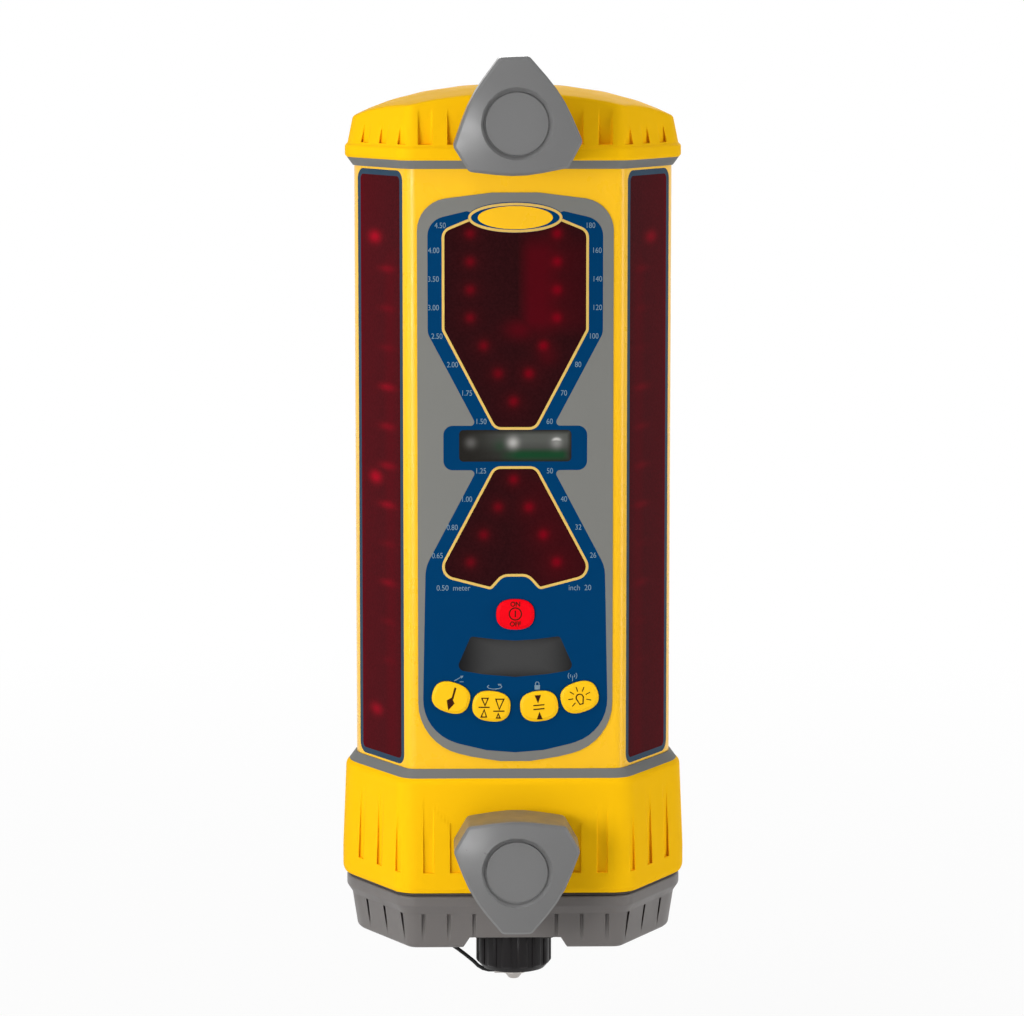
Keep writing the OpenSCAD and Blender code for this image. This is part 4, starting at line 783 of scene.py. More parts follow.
bulb_outline = [(1.45 * math.cos(a), 1.45 * math.sin(a)) for a in bulb_turns] + [(-0.65, -2.7), (0.65, -2.7)]
bulb = stroked([Matrix.Rotation(bulb_lean, 2) @ Vector(point) for point in bulb_outline], True)
for ray in range(7):
    ray_turn = math.radians(-12 + 40.3 * ray)
    ray_ends = [(reach * math.cos(ray_turn), reach * math.sin(ray_turn)) for reach in (2.7, 4.7)]
    bulb += stroked(ray_ends, width=0.4)
bulb = moved(bulb, 26.1, -102.6)
key_signs = {"grade_key": needle, "deadband_key": narrow_pair + wide_pair, "offset_key": offset_marks,
             "lamp_key": bulb}
for key, sign in key_signs.items():
    printed(key + "_sign", to_scale(sign), sign_ink, key, key_face)

pointer = stroked([(-1.9, -0.9), (1.0, 0.8)], width=thin_stroke) + [[(1.9, 1.3), (0.5, 1.2), (1.2, 0.1)]]
pointer += stroked([(0.4, -1.2), (2.0, -1.2)], width=thin_stroke)
loop_turns = [math.radians(a) for a in range(140, 411, 15)]
turn_back = stroked([(2.9 * math.cos(a), 0.95 * math.sin(a)) for a in loop_turns], width=0.35)
turn_back += [[(2.9, 1.1), (1.3, 1.2), (1.7, 0.3)]]
padlock = [[(-1.1, -1.6), (1.1, -1.6), (1.1, 0.2), (-1.1, 0.2)]]
padlock += stroked([(-0.7, 0.2), (-0.7, 1), (-0.4, 1.5), (0.4, 1.5), (0.7, 1), (0.7, 0.2)], width=thin_stroke)
waves = stroked([(0, -1.6), (0, 0.6)], width=thin_stroke)
wave_turns = [math.radians(a) for a in (-40, -20, 0, 20, 40)]
for side in (-1, 1):
    for wave_r in (0.9, 1.8):
        wave = [(side * wave_r * math.cos(a), 0.6 + wave_r * math.sin(a)) for a in wave_turns]
        waves += stroked(wave, width=thin_stroke)
film_signs = moved(pointer, -22.9, -94.9) + moved(turn_back, -8.4, -98.2)
film_signs += moved(padlock, 8.9, -97.8) + moved(waves, 23.2, -94.4)
printed("film_signs", to_scale(film_signs), figure_ink)

# Top cap: a yellow moulding with a rim over the gasket, a domed top, and grip grooves that run out upwards.
# Tie rods from the base pull it down on the housing, and its round boss carries the upper clamp screw.
mast_to_middle = 45
front_half_w = 43
half_d = 44
side_half_w = 65
side_half_flat = 6
corner_r = 5.6
bevel_turn = math.atan2(half_d - side_half_flat, side_half_w - front_half_w)
side_r = 0.98 * side_half_flat / math.tan((math.pi / 2 - bevel_turn) / 2)
skin_spacing = 0.45
skin_turn = math.radians(4)
slot_edge = 0.25
groove_w = 4.1
groove_pitch = 15.2
groove_start = 0.6
cap_z = 114.4
end_yellow = moulded("end_moulding", yellow, roughness=0.6, gloss=0.025, mottle=0.02, grain=0.6 * mm,
                     relief=0.16)
cap_h = 29.6
dome_r = 230
dome_fall = 2.1e-7
dome_depth_r = 285
upper_axis_z = 129.9
lower_axis_z = -167.2
front_facing = 0.8
soft_crease = 30
overrun = 1
seat_r, seat_end, seat_overrun = 25.5, 80, 5
cover_half_w, cover_front, cover_back, cover_t = 44.1, -20.65, 15.4, 2
pocket_half_w, pocket_front, pocket_back = 35.9, -17.65, 12.4
arm_inner, arm_under, arm_over, arm_end = 29.1, 12.3, 0.5, 99
screw_room_r, screw_bore_r = 8.4, 5.08
boss_r, boss_root, boss_face, boss_edge = 14, 40, 52, 0.6


def stations_round(corners, spacing, turn_step):
    """Places round an outline with rounded corners, anticlockwise, each with its way outwards."""
    count = len(corners)
    turns = []
    for i, (x, y, r) in enumerate(corners):
        here = Vector((x, y))
        into = (here - Vector(corners[i - 1][:2])).normalized()
        out = (Vector(corners[(i + 1) % count][:2]) - here).normalized()
        turn = math.atan2(into.x * out.y - into.y * out.x, into.dot(out))
        turns.append((here - into * r * math.tan(turn / 2), into, turn, r))
    places = []
    for i, (start, into, turn, r) in enumerate(turns):
        outward = Vector((into.y, -into.x))
        centre = start - outward * r
        steps = max(1, math.ceil(turn / turn_step))
        for k in range(steps + 1):
            way = Matrix.Rotation(turn * k / steps, 2) @ outward
            places.append((centre + way * r, way))
        run_start, run_way = places[-1]
        run = turns[(i + 1) % count][0] - run_start
        pieces = int(run.length / spacing)
        places += [(run_start + run * k / pieces, run_way) for k in range(1, pieces)]
    return places


def lofted(rings):
    """A closed skin through rings of points, with its first and last ring filled."""
    shape = bmesh.new()
    loops = [[shape.verts.new(point) for point in ring] for ring in rings]
    for low, high in zip(loops, loops[1:]):
        for i in range(len(low)):
            j = (i + 1) % len(low)
            shape.faces.new((low[i], low[j], high[j], high[i]))
    shape.faces.new(loops[0])
    shape.faces.new(loops[-1])
    bmesh.ops.recalc_face_normals(shape, faces=shape.faces)
    return shape


def in_frame(x, y, z):
    """A point about the middle of the housing, in millimetres, in the part's own frame."""
    return Vector((x, y - mast_to_middle, z)) * mm


def eased(levels, ease):
    """A profile of heights and reaches with its corners rounded off."""
    points = [Vector(level) for level in levels]
    smooth = [points[0]]
    for before, corner, after in zip(points, points[1:], points[2:]):
        first = corner + (before - corner) * min(0.45, ease / (before - corner).length)
        last = corner + (after - corner) * min(0.45, ease / (after - corner).length)
        for share in (0, 0.25, 0.5, 0.75, 1):
            smooth.append(first.lerp(corner, share).lerp(corner.lerp(last, share), share))
    return smooth + [points[-1]]


def slot_share(x, slots):
    """1 inside one of the slots, 0 outside, with a short slope at each side."""
    shares = [min((x - low) / slot_edge, (high - x) / slot_edge, 1) for low, high in slots]
    return max(0, *shares)


def drawn_in(station, spot, slots, z):
    """A point of a wall moved straight back, as a mould draws, to the floors of the slots at its station."""
    place, way = station
    facing = -1 if place.y < 0 else 1
    depth = facing * spot.y
    at = abs(place.x + way.x * slots["reach"])
    across_bevel = math.sin(bevel_turn) * (abs(spot.x) - front_half_w)
    past_bevel = across_bevel + math.cos(bevel_turn) * (depth - half_d)
    bevel_depth = max(0, past_bevel - slots["bevel_floor"]) / math.cos(bevel_turn)
    in_bevel = bevel_depth * slot_share(at, slots["bevel"])
    in_face = 0
    if way.y * facing > front_facing:
        in_face = max(0, depth - half_d - slots["face_floor"]) * slot_share(at, slots["face"](z, facing))
    return Vector((spot.x, facing * (depth - max(in_bevel, in_face))))


def groove_set(reach, width, floor, faces, face_floor, start=groove_start, pitch=groove_pitch):
    """The grooves of a moulding: where they lie across its bevels and faces, and their floors."""
    first = front_half_w + (start - width / 2) * math.cos(bevel_turn) + floor * math.sin(bevel_turn)
    lows = [first + k * pitch * math.cos(bevel_turn) for k in range(3)]
    bevel = [(low, low + width * math.cos(bevel_turn)) for low in lows]
    return {"reach": reach, "bevel": bevel, "bevel_floor": floor, "face": faces, "face_floor": face_floor}


def prism(points, along, start, end):
    """A cutter with a flat section, drawn out along z or along y."""
    rings = []
    for reach in (start, end):
        rings.append([in_frame(u, v, reach) if along == "z" else in_frame(u, reach, v) for u, v in points])
    return lofted(rings)


def round_points(x, y, r, points=48):
    """Points round a circle."""
    return ellipse(x, y, r, r, points)


def box_points(x0, x1, y0, y1):
    """The corners of a rectangle."""
    return [(x0, y0), (x1, y0), (x1, y1), (x0, y1)]


def joined(shapes):
    """Several shapes in one, side by side."""
    whole = shapes[0]
    for shape in shapes[1:]:
        mesh = bpy.data.meshes.new("joined")
        shape.to_mesh(mesh)
        shape.free()
        whole.from_mesh(mesh)
        bpy.data.meshes.remove(mesh)
    return whole


def cut_away(piece, cutters, extras=()):
    """The cutters taken out of a piece, extra shapes put on, and the result kept as its own mesh."""
    tools = []
    for shape in cutters:
        tools.append(shown("cutter", shape, piece.data.materials[0]))
        cut = piece.modifiers.new("cut", "BOOLEAN")
        cut.operation = "DIFFERENCE"
        cut.solver = "EXACT"
        cut.object = tools[-1]
    mesh = worked_out(piece)
    piece.modifiers.clear()
    piece.data = mesh
    for tool in tools:
        bpy.data.objects.remove(tool)
    shape = bmesh.new()
    shape.from_mesh(mesh)
    bmesh.ops.remove_doubles(shape, verts=shape.verts, dist=2 * weld)
    bmesh.ops.dissolve_degenerate(shape, edges=shape.edges, dist=weld)
    shape = joined([shape, *extras])
    shape.to_mesh(mesh)
    shape.free()
    smoothed(mesh, soft_crease)
    return piece


def clamp_room(axis_z, foot_z, top_z):
    """Cutters for the mast's saddle, the sliding bar's pocket, its arms' slots and the screw's bore."""
    seat_turns = [math.radians(a) for a in range(180, 361, 6)]
    saddle = [(seat_r * math.cos(a), mast_to_middle + seat_r * math.sin(a)) for a in seat_turns]
    saddle += [(seat_r, seat_end), (-seat_r, seat_end)]
    cover = box_points(-cover_half_w, cover_half_w, cover_front, cover_back)
    pocket = box_points(-pocket_half_w, pocket_half_w, pocket_front, pocket_back)
    cutters = [prism(saddle, "z", foot_z - seat_overrun, top_z + seat_overrun),
               prism(cover, "z", foot_z - overrun, foot_z + cover_t),
               prism(pocket, "z", foot_z + overrun, axis_z + arm_over)]
    for side in (-1, 1):
        arm_x = sorted((side * arm_inner, side * pocket_half_w))
        arm = box_points(*arm_x, axis_z - arm_under, axis_z + arm_over)
        cutters.append(prism(arm, "y", pocket_back - overrun, arm_end))
    cutters.append(prism(round_points(0, axis_z, screw_room_r), "y", pocket_front, pocket_back))
    screw_bore = round_points(0, axis_z, screw_bore_r)
    cutters.append(prism(screw_bore, "y", -boss_face - overrun, pocket_front + overrun))
    return cutters


def lathed(profile, steps=96):
    """A solid turned about the upright axis from a closed profile of radii and heights."""
    shape = bmesh.new()
    loops = []
    for k in range(steps):
        turn = 2 * math.pi * k / steps
        loops.append([shape.verts.new((r * math.cos(turn), r * math.sin(turn), z)) for r, z in profile])
    for first, second in zip(loops, loops[1:] + loops[:1]):
        for i in range(len(profile)):
            shape.faces.new((first[i - 1], second[i - 1], second[i], first[i]))
    bmesh.ops.recalc_face_normals(shape, faces=shape.faces)
    return shape


def boss(axis_z):
    """The round boss that a knob's washer turns on, with the screw's bore through it."""
    profile = ((screw_bore_r, boss_root), (boss_r, boss_root), (boss_r, boss_face - boss_edge),
               (boss_r - boss_edge / 3, boss_face - boss_edge / 3), (boss_r - boss_edge, boss_face),
               (screw_bore_r, boss_face))
    shape = lathed([(r * mm, depth * mm) for r, depth in profile], steps=64)
    place = Matrix.Translation(in_frame(0, 0, axis_z)) @ Matrix.Rotation(math.pi / 2, 4, "X")
    bmesh.ops.transform(shape, matrix=place, verts=shape.verts)
    return shape


outline_corners = ((front_half_w, -half_d, corner_r), (side_half_w, -side_half_flat, side_r),
                   (side_half_w, side_half_flat, side_r), (front_half_w, half_d, corner_r),
                   (-front_half_w, half_d, corner_r), (-side_half_w, side_half_flat, side_r),
                   (-side_half_w, -side_half_flat, side_r), (-front_half_w, -half_d, corner_r))
stations = stations_round(outline_corners, skin_spacing, skin_turn)
cap_wall_h = 5.6
cap_wall_out = 2.7
cap_lean = 4.9
cap_rim_profile = ((0, 3.1), (0.7, 3.8), (4.7, 3.8), (cap_wall_h, cap_wall_out), (10, 1.77))
cap_rim = eased(cap_rim_profile, ease=0.6)[:-1]
cap_face_slot, cap_recess = (33.2, 38.6), (-1, 27)
rim_gap, wall_rows = 0.15, 10
dome_edge = 1.1
dome_edge_shares = (0.15, 0.3, 0.5, 0.7, 0.85, 1)
dome_shares = (0.08, 0.2, 0.4, 0.65, 0.93)


def cap_faces(z, facing):
    """The grooves in the cap's front and back, and the recess behind the knob in front."""
    return [cap_face_slot, cap_recess] if facing < 0 else [cap_face_slot]


def cap_reach(z):
    """How far the cap's leaning wall stands out of the housing's outline."""
    return cap_wall_out - cap_lean * (z - cap_wall_h) / (cap_h - cap_wall_h)


def dome_at(spot):
    """The height of the dome over a place."""
    return cap_h - spot.x ** 2 / (2 * dome_r) - dome_fall * spot.x ** 4 - spot.y ** 2 / (2 * dome_depth_r)


def cap_column(station):
    """Points up the cap at one station: its rim, its wall with the grooves, a rounded edge and the dome."""
    place, way = station
    column = [(place + way * reach, z) for z, reach in cap_rim]
    low, high = cap_wall_h, cap_h
    for halving in range(30):
        middle = (low + high) / 2
        low, high = (middle, high) if dome_at(place + way * cap_reach(middle)) > middle else (low, middle)
    wall_foot, wall_top = cap_rim[-1].x + rim_gap, low - dome_edge
    wall_z = [wall_foot + (wall_top - wall_foot) * k / wall_rows for k in range(wall_rows + 1)]
    column += [(drawn_in(station, place + way * cap_reach(z), cap_slots, z), z) for z in wall_z]
    first = Vector((*(place + way * cap_reach(wall_top)), wall_top))
    corner = Vector((*(place + way * cap_reach(low)), low))
    inner = corner.xy * (1 - dome_edge / corner.xy.length)
    last = Vector((*inner, dome_at(inner)))
    for share in dome_edge_shares:
        point = first.lerp(corner, share).lerp(corner.lerp(last, share), share)
        column.append((point.xy, point.z))
    column += [(inner * (1 - share), dome_at(inner * (1 - share))) for share in dome_shares]
    return [in_frame(spot.x, spot.y, cap_z + z) for spot, z in column]


cap_slots = groove_set(reach=2, width=6, floor=1, faces=cap_faces, face_floor=-0.3, start=2.3, pitch=14.8)
cap_skin = lofted(zip(*[cap_column(station) for station in stations]))
cap = shown("cap_moulding", cap_skin, end_yellow)
cap_cutters = clamp_room(upper_axis_z, cap_z, cap_z + cap_h)
stands_for(cut_away(cap, cap_cutters, [boss(upper_axis_z)]), "top_cap")

# Bottom collar, seal and base: a yellow moulding under the housing, a grey beaded seal and a grey foot.
# The foot is stiffer plastic with short finger ribs, notched under the connector.
collar_z = -182.4
collar_h = 47
collar_groove_h = 8.4
base_z = -206.5
base_h = 22.5
collar_groove_top = 44
collar_face_slot = (33.2, 37.3)
recess_half_w, recess_flare, flare_foot, flare_top = 26.6, 6.6, 27.9, 34.7
base_groove_foot, base_groove_top = 2, 14.9
slit_start, slit_w, slit_pitch = 16, 1.4, 10.4
rod_spots = [(side * x, y) for side in (-1, 1) for x, y in ((38, -23.5), (26, 19))]
rod_room_r, rod_room_h = 4, 5
fine_spacing = 0.26
foot_r, foot_out = 2, 0.2
foot_reach = 60
channel_r, channel_lean = 27.4, math.radians(30)
notch_half_w, notch_top_half_w, notch_h = 21.4, 18.6, 4.5
connector_y, connector_room_r = -14, 11.2


def walled(levels, foot_z, slots, slots_from, slots_to, around=stations):
    """A moulding's skin through its levels, with slots in its wall between two heights."""
    rings = []
    for z, reach in levels:
        ring = []
        for station in around:
            place, way = station
            spot = place + way * reach
            if slots_from < z < slots_to:
                spot = drawn_in(station, spot, slots, z)
            ring.append(in_frame(spot.x, spot.y, foot_z + z))
        rings.append(ring)
    return lofted(rings)


def collar_faces(z, facing):
    """The grooves in the collar's front and back, and the flaring recess behind the knob in front."""
    recess = (-1, recess_half_w + recess_flare * ramp(z, flare_foot, flare_top))
    return [collar_face_slot, recess] if facing < 0 else [collar_face_slot]


def base_faces(z, facing):
    """The narrow slits of the base, three at each side of its front and back."""
    starts = [slit_start + slit_pitch * k for k in range(3)]
    return [(start, start + slit_w) for start in starts]


def spread(levels, start, end, count):
    """More levels between two heights of a profile."""
    ordered = [tuple(level) for level in levels]
    extra = []
    for k in range(count + 1):
        z = start + (end - start) * k / count
        below = max(level for level in ordered if level[0] <= z)
        above = min(level for level in ordered if level[0] > z)
        extra.append((z, below[1] + (above[1] - below[1]) * (z - below[0]) / (above[0] - below[0])))
    return sorted(set(ordered + extra))


collar_profile = ((0, 5.3), (1.5, 6), (10, 6), (45.5, 4.5), (collar_h, 3.1))
collar_levels = eased(collar_profile, ease=1.2)
collar_levels = spread(collar_levels, start=collar_groove_h - 0.05, end=collar_groove_top, count=26)
collar_levels = spread(collar_levels, start=collar_groove_h + 0.1, end=9.2, count=2)
collar_slots = groove_set(reach=5.4, width=groove_w, floor=4.7, faces=collar_faces, face_floor=4.7)
collar_skin = walled(collar_levels, collar_z, collar_slots, collar_groove_h, collar_h)
collar = shown("collar_moulding", collar_skin, end_yellow)
collar_cutters = clamp_room(lower_axis_z, collar_z, collar_z + collar_h)
stands_for(cut_away(collar, collar_cutters, [boss(lower_axis_z)]), "bottom_collar")

# The seal is the gaskets' grey rubber made darker, as painted shade for its place in the gap between the
# collar and the foot.
seal_rubber_in_shade = moulded("seal_rubber_in_shade", tint(74, 70, 68), roughness=0.62, gloss=0.1, mottle=0.05)
as_built("foot_seal", "base_seal", seal_rubber_in_shade)

finishes["base_grey"] = moulded("base_moulding", tint(106, 102, 100), roughness=0.42, gloss=0.3, mottle=0.04)
foot_turns = [math.radians(a) for a in range(90, 0, -15)]
foot_round = [(foot_r * (1 - math.sin(a)), foot_out - foot_r * (1 - math.cos(a))) for a in foot_turns]
base_profile = ((foot_r, foot_out), (14.9, 2.2), (18.2, 4.4), (22, 4.4), (base_h, 3.9))
base_levels = foot_round + eased(base_profile, ease=0.5)
base_levels = spread(base_levels, start=base_groove_foot + 0.2, end=base_groove_top - 0.6, count=8)
base_levels = spread(base_levels, start=base_groove_top - 0.45, end=base_groove_top - 0.3, count=1)
base_slots = groove_set(reach=1.4, width=1.5, floor=0.3, faces=base_faces, face_floor=0.4, start=5,
                        pitch=14.4)
fine_stations = stations_round(outline_corners, fine_spacing, skin_turn)
base_skin = walled(base_levels, base_z, base_slots, base_groove_foot, base_groove_top - 0.4, fine_stations)
foot = shown("foot_moulding", base_skin, finishes["base_grey"])
channel_floor_y = mast_to_middle - channel_r
channel_floor_x = channel_r * (1 - math.sin(channel_lean)) / math.cos(channel_lean)
channel_end_x = channel_floor_x + (foot_reach - channel_floor_y) * math.tan(channel_lean)
channel = [(-channel_floor_x, channel_floor_y), (channel_floor_x, channel_floor_y),
           (channel_end_x, foot_reach), (-channel_end_x, foot_reach)]
under_foot, over_foot = base_z - overrun, base_z + base_h + overrun
notch = [(-notch_half_w, under_foot), (notch_half_w, under_foot), (notch_half_w, base_z),
         (notch_top_half_w, base_z + notch_h), (-notch_top_half_w, base_z + notch_h), (-notch_half_w, base_z)]
foot_cutters = [prism(channel, "z", under_foot, over_foot), prism(notch, "y", -foot_reach, foot_reach),
                prism(round_points(0, connector_y, connector_room_r), "z", under_foot, over_foot)]
for x, y in rod_spots:
    foot_cutters.append(prism(round_points(x, y, rod_room_r), "z", under_foot, base_z + rod_room_h))
stands_for(cut_away(foot, foot_cutters), "base")

# Tie rods: four plated rods with socket heads, up through the base and the housing into the cap.
# They are bought screws, all alike, and hold the whole tube together.
finishes["steel"] = moulded("zinc_plate", tint(176, 171, 167), roughness=0.34, gloss=0.5, metal=0.9,
                            relief=0.06)


def node_tree(name, sockets):
    """A geometry tree with named inputs and its two end nodes."""
    tree = bpy.data.node_groups.new(name, "GeometryNodeTree")
    for label, kind in sockets.items():
        tree.interface.new_socket(label, in_out="INPUT", socket_type="NodeSocket" + kind)
    tree.interface.new_socket("Geometry", in_out="OUTPUT", socket_type="NodeSocketGeometry")
    return tree, tree.nodes.new("NodeGroupInput").outputs, tree.nodes.new("NodeGroupOutput").inputs


def grown(tree, kind, inputs=()):
    """The outputs of a new geometry node, with its inputs linked or set."""
    return wire(tree, kind, inputs, "GeometryNode")


def set_out(tree, places, finish, end):
    """The end of a tree: copies of one object at points, made real and given a finish."""
    copies = grown(tree, "InstanceOnPoints", places)
    real = grown(tree, "RealizeInstances", {"Geometry": copies["Instances"]})
    finished = grown(tree, "SetMaterial", {"Geometry": real["Geometry"], "Material": finish})
    tree.links.new(finished["Geometry"], end["Geometry"])


def made_by(tree, name, values, start=None):
    """The plain mesh that a tree makes from its values, as an object."""
    piece = in_scene(name, start or bpy.data.meshes.new(name))
    growth = piece.modifiers.new("growth", "NODES")
    growth.node_group = tree
    for socket in tree.interface.items_tree:
        if socket.in_out == "INPUT" and socket.name in values:
            growth[socket.identifier] = values[socket.name]
    mesh = worked_out(piece)
    piece.modifiers.clear()
    piece.data = mesh
    mesh.name = name
    smoothed(mesh, soft_crease)
    return piece


rod_sockets = {"Points": "Geometry", "Rod": "Object", "Finish": "Material"}
rods_tree, rod_in, rod_out = node_tree("rods_at_points", rod_sockets)
one_rod = grown(rods_tree, "ObjectInfo", {"Object": rod_in["Rod"]})
rod_places = {"Points": rod_in["Points"], "Instance": one_rod["Geometry"]}
set_out(rods_tree, rod_places, rod_in["Finish"], rod_out)

rod_low, rod_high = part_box("tie_rods")
rod_r = 2 * mm
rod_head_r = 3.6 * mm
rod_head_h = 4 * mm
socket_r, socket_depth = 1.75 * mm, 2.2 * mm
socket_taper, socket_flare, socket_lip = 0.97, 1.08, 0.2 * mm
rod_edge = 0.4 * mm
rod_sides = 36


def ring_at(radius, z):
    """A ring about the upright axis."""
    turns = [2 * math.pi * k / rod_sides for k in range(rod_sides)]
    return [Vector((radius * math.cos(a), radius * math.sin(a), z)) for a in turns]


def hexagon_at(radius, z):
    """A hexagon with as many points as a ring."""
    points = []
    for point in ring_at(1, z):
        turn = math.atan2(point.y, point.x) % (math.pi / 3) - math.pi / 6
        points.append(Vector((point.x * radius / math.cos(turn), point.y * radius / math.cos(turn), z)))
    return points


rod_rings = [hexagon_at(socket_r * socket_taper, rod_low.z + socket_depth),
             hexagon_at(socket_r, rod_low.z + socket_lip), hexagon_at(socket_r * socket_flare, rod_low.z),
             ring_at(rod_head_r - rod_edge, rod_low.z), ring_at(rod_head_r, rod_low.z + rod_edge),
             ring_at(rod_head_r, rod_low.z + rod_head_h), ring_at(rod_r, rod_low.z + rod_head_h),
             ring_at(rod_r, rod_high.z)]
rod = shown("one_rod", lofted(rod_rings), finishes["steel"])
rod_points = bpy.data.meshes.new("rod_points")
rod_points.from_pydata([in_frame(x, y, 0) for x, y in rod_spots], [], [])
tie_rods = made_by(rods_tree, "tie_rod_set", {"Rod": rod, "Finish": finishes["steel"]}, rod_points)
bpy.data.objects.remove(rod)
stands_for(tie_rods, "tie_rods")

# Clamp knobs: three-lobed satin grey mouldings with a crowned face, and a plug disc over the screw's head.
# Each turns its clamp screw and is held on it by the moulded hexagon.
finishes["knob_grey"] = moulded("knob_moulding", tint(106, 106, 106), roughness=0.32, gloss=0.5, mottle=0.03)
knob_back_y = -53.25
knob_t = 27.5
knob_edge = 1
knob_crown = 3.2
knob_flat_half = 5.8
knob_reach = 25.9
knob_side_reach = 21
knob_side_r = 60
knob_corner_r = 2.4
knob_back_round = ((0, -1.4), (0.25, -0.8), (0.7, -0.25), (1.4, 0))
knob_face_round = ((0, knob_edge), (0.12 - knob_edge, 0.12), (-knob_edge, 0))
knob_spacing, knob_turn_step = 1.2, math.radians(6)
knob_places = (("upper", upper_axis_z, 2.3), ("lower", lower_axis_z, 180))
face_shares = (0.2, 0.4, 0.6, 0.8, 1)
disc_edge_r = 14.2
disc_rings = ((13.2, 1.5), (12.9, 1.8), (12.45, 1.9), (12.45, 2.8))
disc_edge = 0.2 * mm


def turned(point, degrees):
    """A point turned about the middle."""
    return Matrix.Rotation(math.radians(degrees), 2) @ Vector(point)


def face_drop(radius):
    """How far the crowned face lies under its middle."""
    return knob_crown * max(0, (radius - disc_edge_r) / (knob_reach - disc_edge_r)) ** 1.15


def knob_column(place, way):
    """Points up a knob at one station: its rounded back, its crowned face and the ring round its disc."""
    column = [(place + way * reach, depth) for depth, reach in knob_back_round]
    for reach, under in knob_face_round:
        spot = place + way * reach
        column.append((spot, knob_t - face_drop(spot.length) - under))
    rim, inner = place - way * knob_edge, place.normalized() * disc_edge_r
    for share in face_shares:
        spot = rim.lerp(inner, share)
        column.append((spot, knob_t - face_drop(spot.length)))
    return column + [(place.normalized() * radius, knob_t - under) for radius, under in disc_rings]


knob_corners = []
for lobe in range(3):
    knob_corners += [(*turned((knob_flat_half, knob_reach), 120 * lobe), knob_corner_r),
                     (*turned((-knob_flat_half, knob_reach), 120 * lobe), knob_corner_r),
                     (*turned((0, knob_side_reach), 60 + 120 * lobe), knob_side_r)]
knob_stations = stations_round(knob_corners, knob_spacing, knob_turn_step)
for end, axis_z, turn in knob_places:
    columns = []
    for place, way in knob_stations:
        spots = [(turned(spot, turn), depth) for spot, depth in knob_column(place, way)]
        columns.append([in_frame(spot.x, knob_back_y - depth, axis_z + spot.y) for spot, depth in spots])
    grip = shown(end + "_knob_grip", lofted(zip(*columns)), finishes["knob_grey"], crease=20)
    stands_for(grip, end + "_knob")
    as_built(end + "_knob_disc", end + "_knob_plug", finishes["knob_grey"], edge=disc_edge)

# Clamp metal: painted jaws, and plated bars, screws, washers and covers, in the cap and in the collar.
# The screws draw the jaws to the mast behind the receiver.
finishes["clamp_metal"] = moulded("jaw_paint", tint(90, 90, 90), roughness=0.5, gloss=0.25, grain=0.9 * mm)
jaw_edge = 0.5 * mm
for end in ("upper", "lower"):
    as_built(end + "_jaw_casting", end + "_jaw", finishes["clamp_metal"], crease=25, edge=jaw_edge)

# Connector: a black moulded shell in the base with gold pins, and a screw cap with grip ribs over it.
# A pivot screw under the cap holds the eyelet of a short black tether.
finishes["seal_black"] = moulded("seal_rubber", tint(34, 32, 32), roughness=0.6, gloss=0.1, mottle=0.05)
finishes["connector_black"] = moulded("connector_plastic", tint(31, 29, 30), roughness=0.36, gloss=0.14,
                                      mottle=0.08)
finishes["pin_gold"] = moulded("pin_gold", tint(225, 190, 110), roughness=0.25, gloss=0.5, metal=1.0,
                               relief=0.02)
finishes["part_black"] = moulded("inner_black", tint(30, 30, 31), roughness=0.5, gloss=0.2)
finishes["tether_black"] = moulded("tether_cord", tint(28, 28, 29), roughness=0.55, gloss=0.2)
cap_low, cap_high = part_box("dust_cap")
cap_axis = Vector((0, (cap_low.y + cap_high.y) / 2, 0))
cap_r = 15.6 * mm
cap_wall_r = 14.8 * mm
cap_bore_r = 12.1 * mm
cap_floor_t = 3 * mm
cap_chamfer = 3 * mm
pivot_bore_r = 2.05 * mm
cap_ease, cap_ease_in = 0.3 * mm, 0.2 * mm
chamfer_r = cap_r - cap_chamfer
chamfer_top = cap_low.z + cap_wall_r - chamfer_r
rib_count = 14
rib_half_turn = math.radians(8.5)
rib_steps = 6
rib_root = 0.4 * mm
rib_levels = ((cap_low.z + 2.2 * mm, 0.05 * mm), (cap_low.z + 2.75 * mm, 0.6 * mm),
              (cap_low.z + 3.2 * mm, 0.8 * mm), (cap_high.z - 0.4 * mm, 0.8 * mm),
              (cap_high.z - 0.1 * mm, 0.55 * mm))
pivot_edge = 0.5 * mm


def rib_point(turn, out, z):
    """A point of a rib, from the middle of its foot on the cap's wall."""
    radius = cap_wall_r + out
    return Vector((radius * math.cos(turn) - cap_wall_r, radius * math.sin(turn), z))


cap_profile = ((pivot_bore_r, cap_low.z), (chamfer_r - cap_ease_in, cap_low.z),
               (chamfer_r + cap_ease, cap_low.z + cap_ease / 2),
               (cap_wall_r - cap_ease_in, chamfer_top - cap_ease / 2), (cap_wall_r, chamfer_top + cap_ease),
               (cap_wall_r, cap_high.z - cap_ease), (cap_wall_r - cap_ease, cap_high.z),
               (cap_bore_r, cap_high.z), (cap_bore_r, cap_low.z + cap_floor_t),
               (pivot_bore_r, cap_low.z + cap_floor_t))
cap_body = lathed(cap_profile)

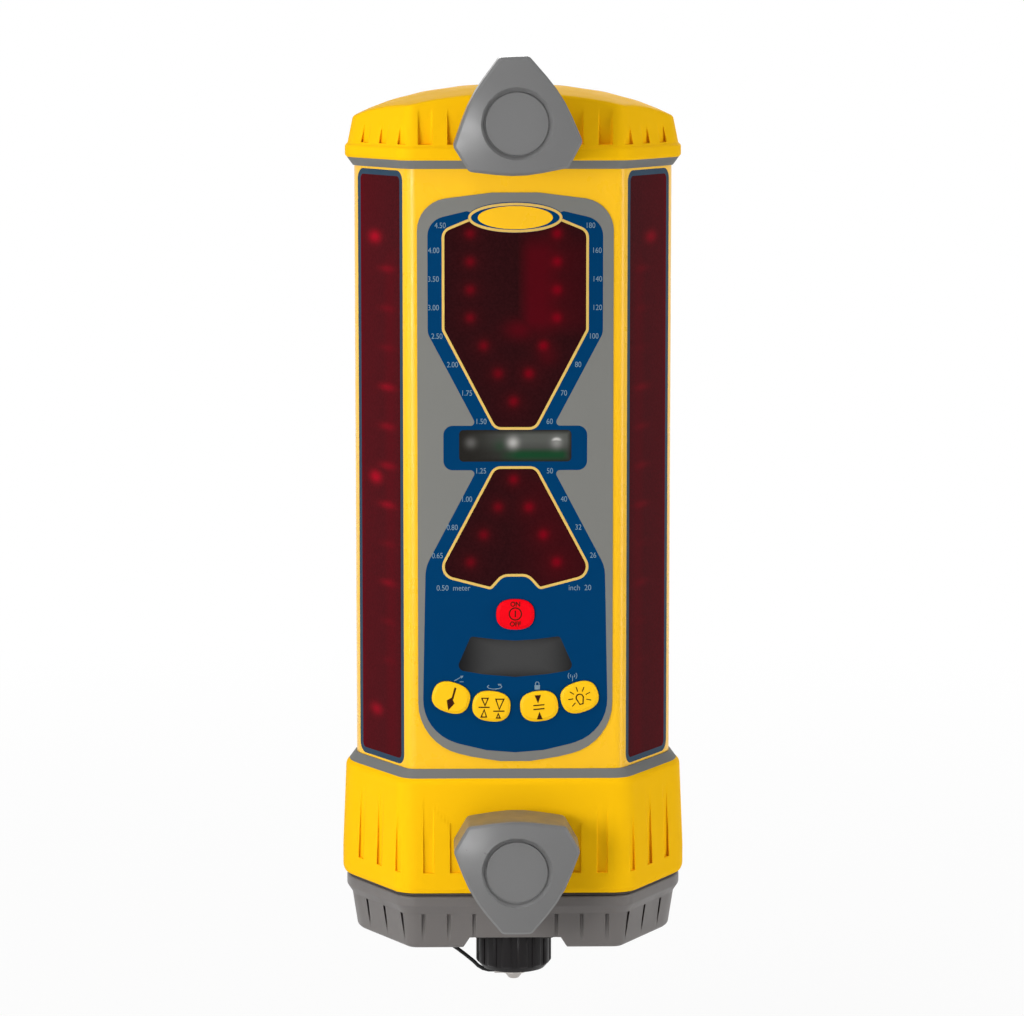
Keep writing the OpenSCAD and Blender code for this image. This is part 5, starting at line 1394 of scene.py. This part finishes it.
rib_sockets = {"Rib": "Object", "Ribs": "Int", "Radius": "Float", "Finish": "Material"}
ribs_tree, rib_in, rib_out = node_tree("ribs_round_cap", rib_sockets)
row = grown(ribs_tree, "MeshCircle", {"Vertices": rib_in["Ribs"], "Radius": rib_in["Radius"]})
one_rib = grown(ribs_tree, "ObjectInfo", {"Object": rib_in["Rib"]})
rib_index = grown(ribs_tree, "InputIndex")
full_turns = wire(ribs_tree, "Math", {0: rib_index[0], 1: 2 * math.pi}, operation="MULTIPLY")
rib_turn = wire(ribs_tree, "Math", {0: full_turns[0], 1: rib_in["Ribs"]}, operation="DIVIDE")
rib_way = wire(ribs_tree, "CombineXYZ", {"Z": rib_turn[0]})
rib_places = {"Points": row["Mesh"], "Instance": one_rib["Geometry"], "Rotation": rib_way[0]}
set_out(ribs_tree, rib_places, rib_in["Finish"], rib_out)

rib_turns = [rib_half_turn * (2 * k / rib_steps - 1) for k in range(rib_steps + 1)]
rib_rings = []
for z, reach in rib_levels:
    ring = [rib_point(turn, reach * (1 - 0.6 * abs(turn / rib_half_turn) ** 6), z) for turn in rib_turns]
    rib_rings.append(ring + [rib_point(turn, -rib_root, z) for turn in (rib_turns[-1], rib_turns[0])])
rib = shown("one_rib", lofted(rib_rings), finishes["connector_black"])
rib_values = {"Rib": rib, "Ribs": rib_count, "Radius": cap_wall_r, "Finish": finishes["connector_black"]}
cap_ribs = made_by(ribs_tree, "cap_ribs", rib_values)
bpy.data.objects.remove(rib)
cap_body.from_mesh(cap_ribs.data)
bpy.data.objects.remove(cap_ribs)
bmesh.ops.translate(cap_body, verts=cap_body.verts, vec=cap_axis)
stands_for(shown("dust_cap_moulding", cap_body, finishes["connector_black"], soft_crease), "dust_cap")
as_built("cap_pivot_screw", "dust_cap_screw", finishes["steel"], edge=pivot_edge, steps=3)

tether_route = ((-33, 2.7, -207.8), (-33, 0.4, -207.9), (-32.9, -2, -208.3), (-32.4, -4.4, -208.8),
                (-31.4, -6.7, -209.6), (-29.9, -8.7, -210.5), (-27.9, -10.3, -211.6), (-25.6, -11.5, -213),
                (-23.2, -12.3, -214.5), (-20.8, -12.9, -216.2), (-18.6, -13.3, -217.9),
                (-16.6, -13.6, -219.5), (-14.8, -13.8, -221.3), (-12.8, -13.9, -222.5),
                (-10.4, -14, -223.1), (-8, -14, -223.1))
tether_path = [in_frame(*point) for point in tether_route]
tether_r = 0.8 * mm
line = bpy.data.curves.new("tether_line", "CURVE")
line.dimensions = "3D"
line.bevel_depth = tether_r
line.bevel_resolution = 4
line.use_fill_caps = True
spline = line.splines.new("POLY")
spline.points.add(len(tether_path) - 1)
for point, place in zip(spline.points, tether_path):
    point.co = (*place, 1)
route = in_scene("tether_line", line)
tether_mesh = worked_out(route)
bpy.data.objects.remove(route)
tether_mesh.materials.clear()
tether_mesh.materials.append(finishes["tether_black"])
tether_mesh.shade_smooth()
tether = in_scene("tether_cord", tether_mesh)
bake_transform(tether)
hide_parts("tether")

# Inside pieces: boards, lamps, cells, switches and fasteners keep the shapes that they were built with.
# Each takes the finish of its material slot.
finishes["board_green"] = moulded("solder_mask", tint(34, 92, 52), roughness=0.35, gloss=0.3, mottle=0.1)
finishes["led_red"] = moulded("lamp_red", tint(140, 14, 26), roughness=0.2, gloss=0.4)
finishes["led_clear"] = moulded("lamp_clear", tint(190, 188, 184), roughness=0.2, gloss=0.4)
dark_steel = moulded("black_oxide", tint(60, 58, 57), roughness=0.45, gloss=0.3, metal=0.5)
finishes["cell_sleeve"] = moulded("cell_sleeve", tint(74, 128, 178), roughness=0.35, gloss=0.4, mottle=0.03)
for node, part in frame["nodes"].items():
    part.data.materials.clear()
    part.data.materials.append(dark_steel if node == "m3_screws" else finishes[slot_of[node]])
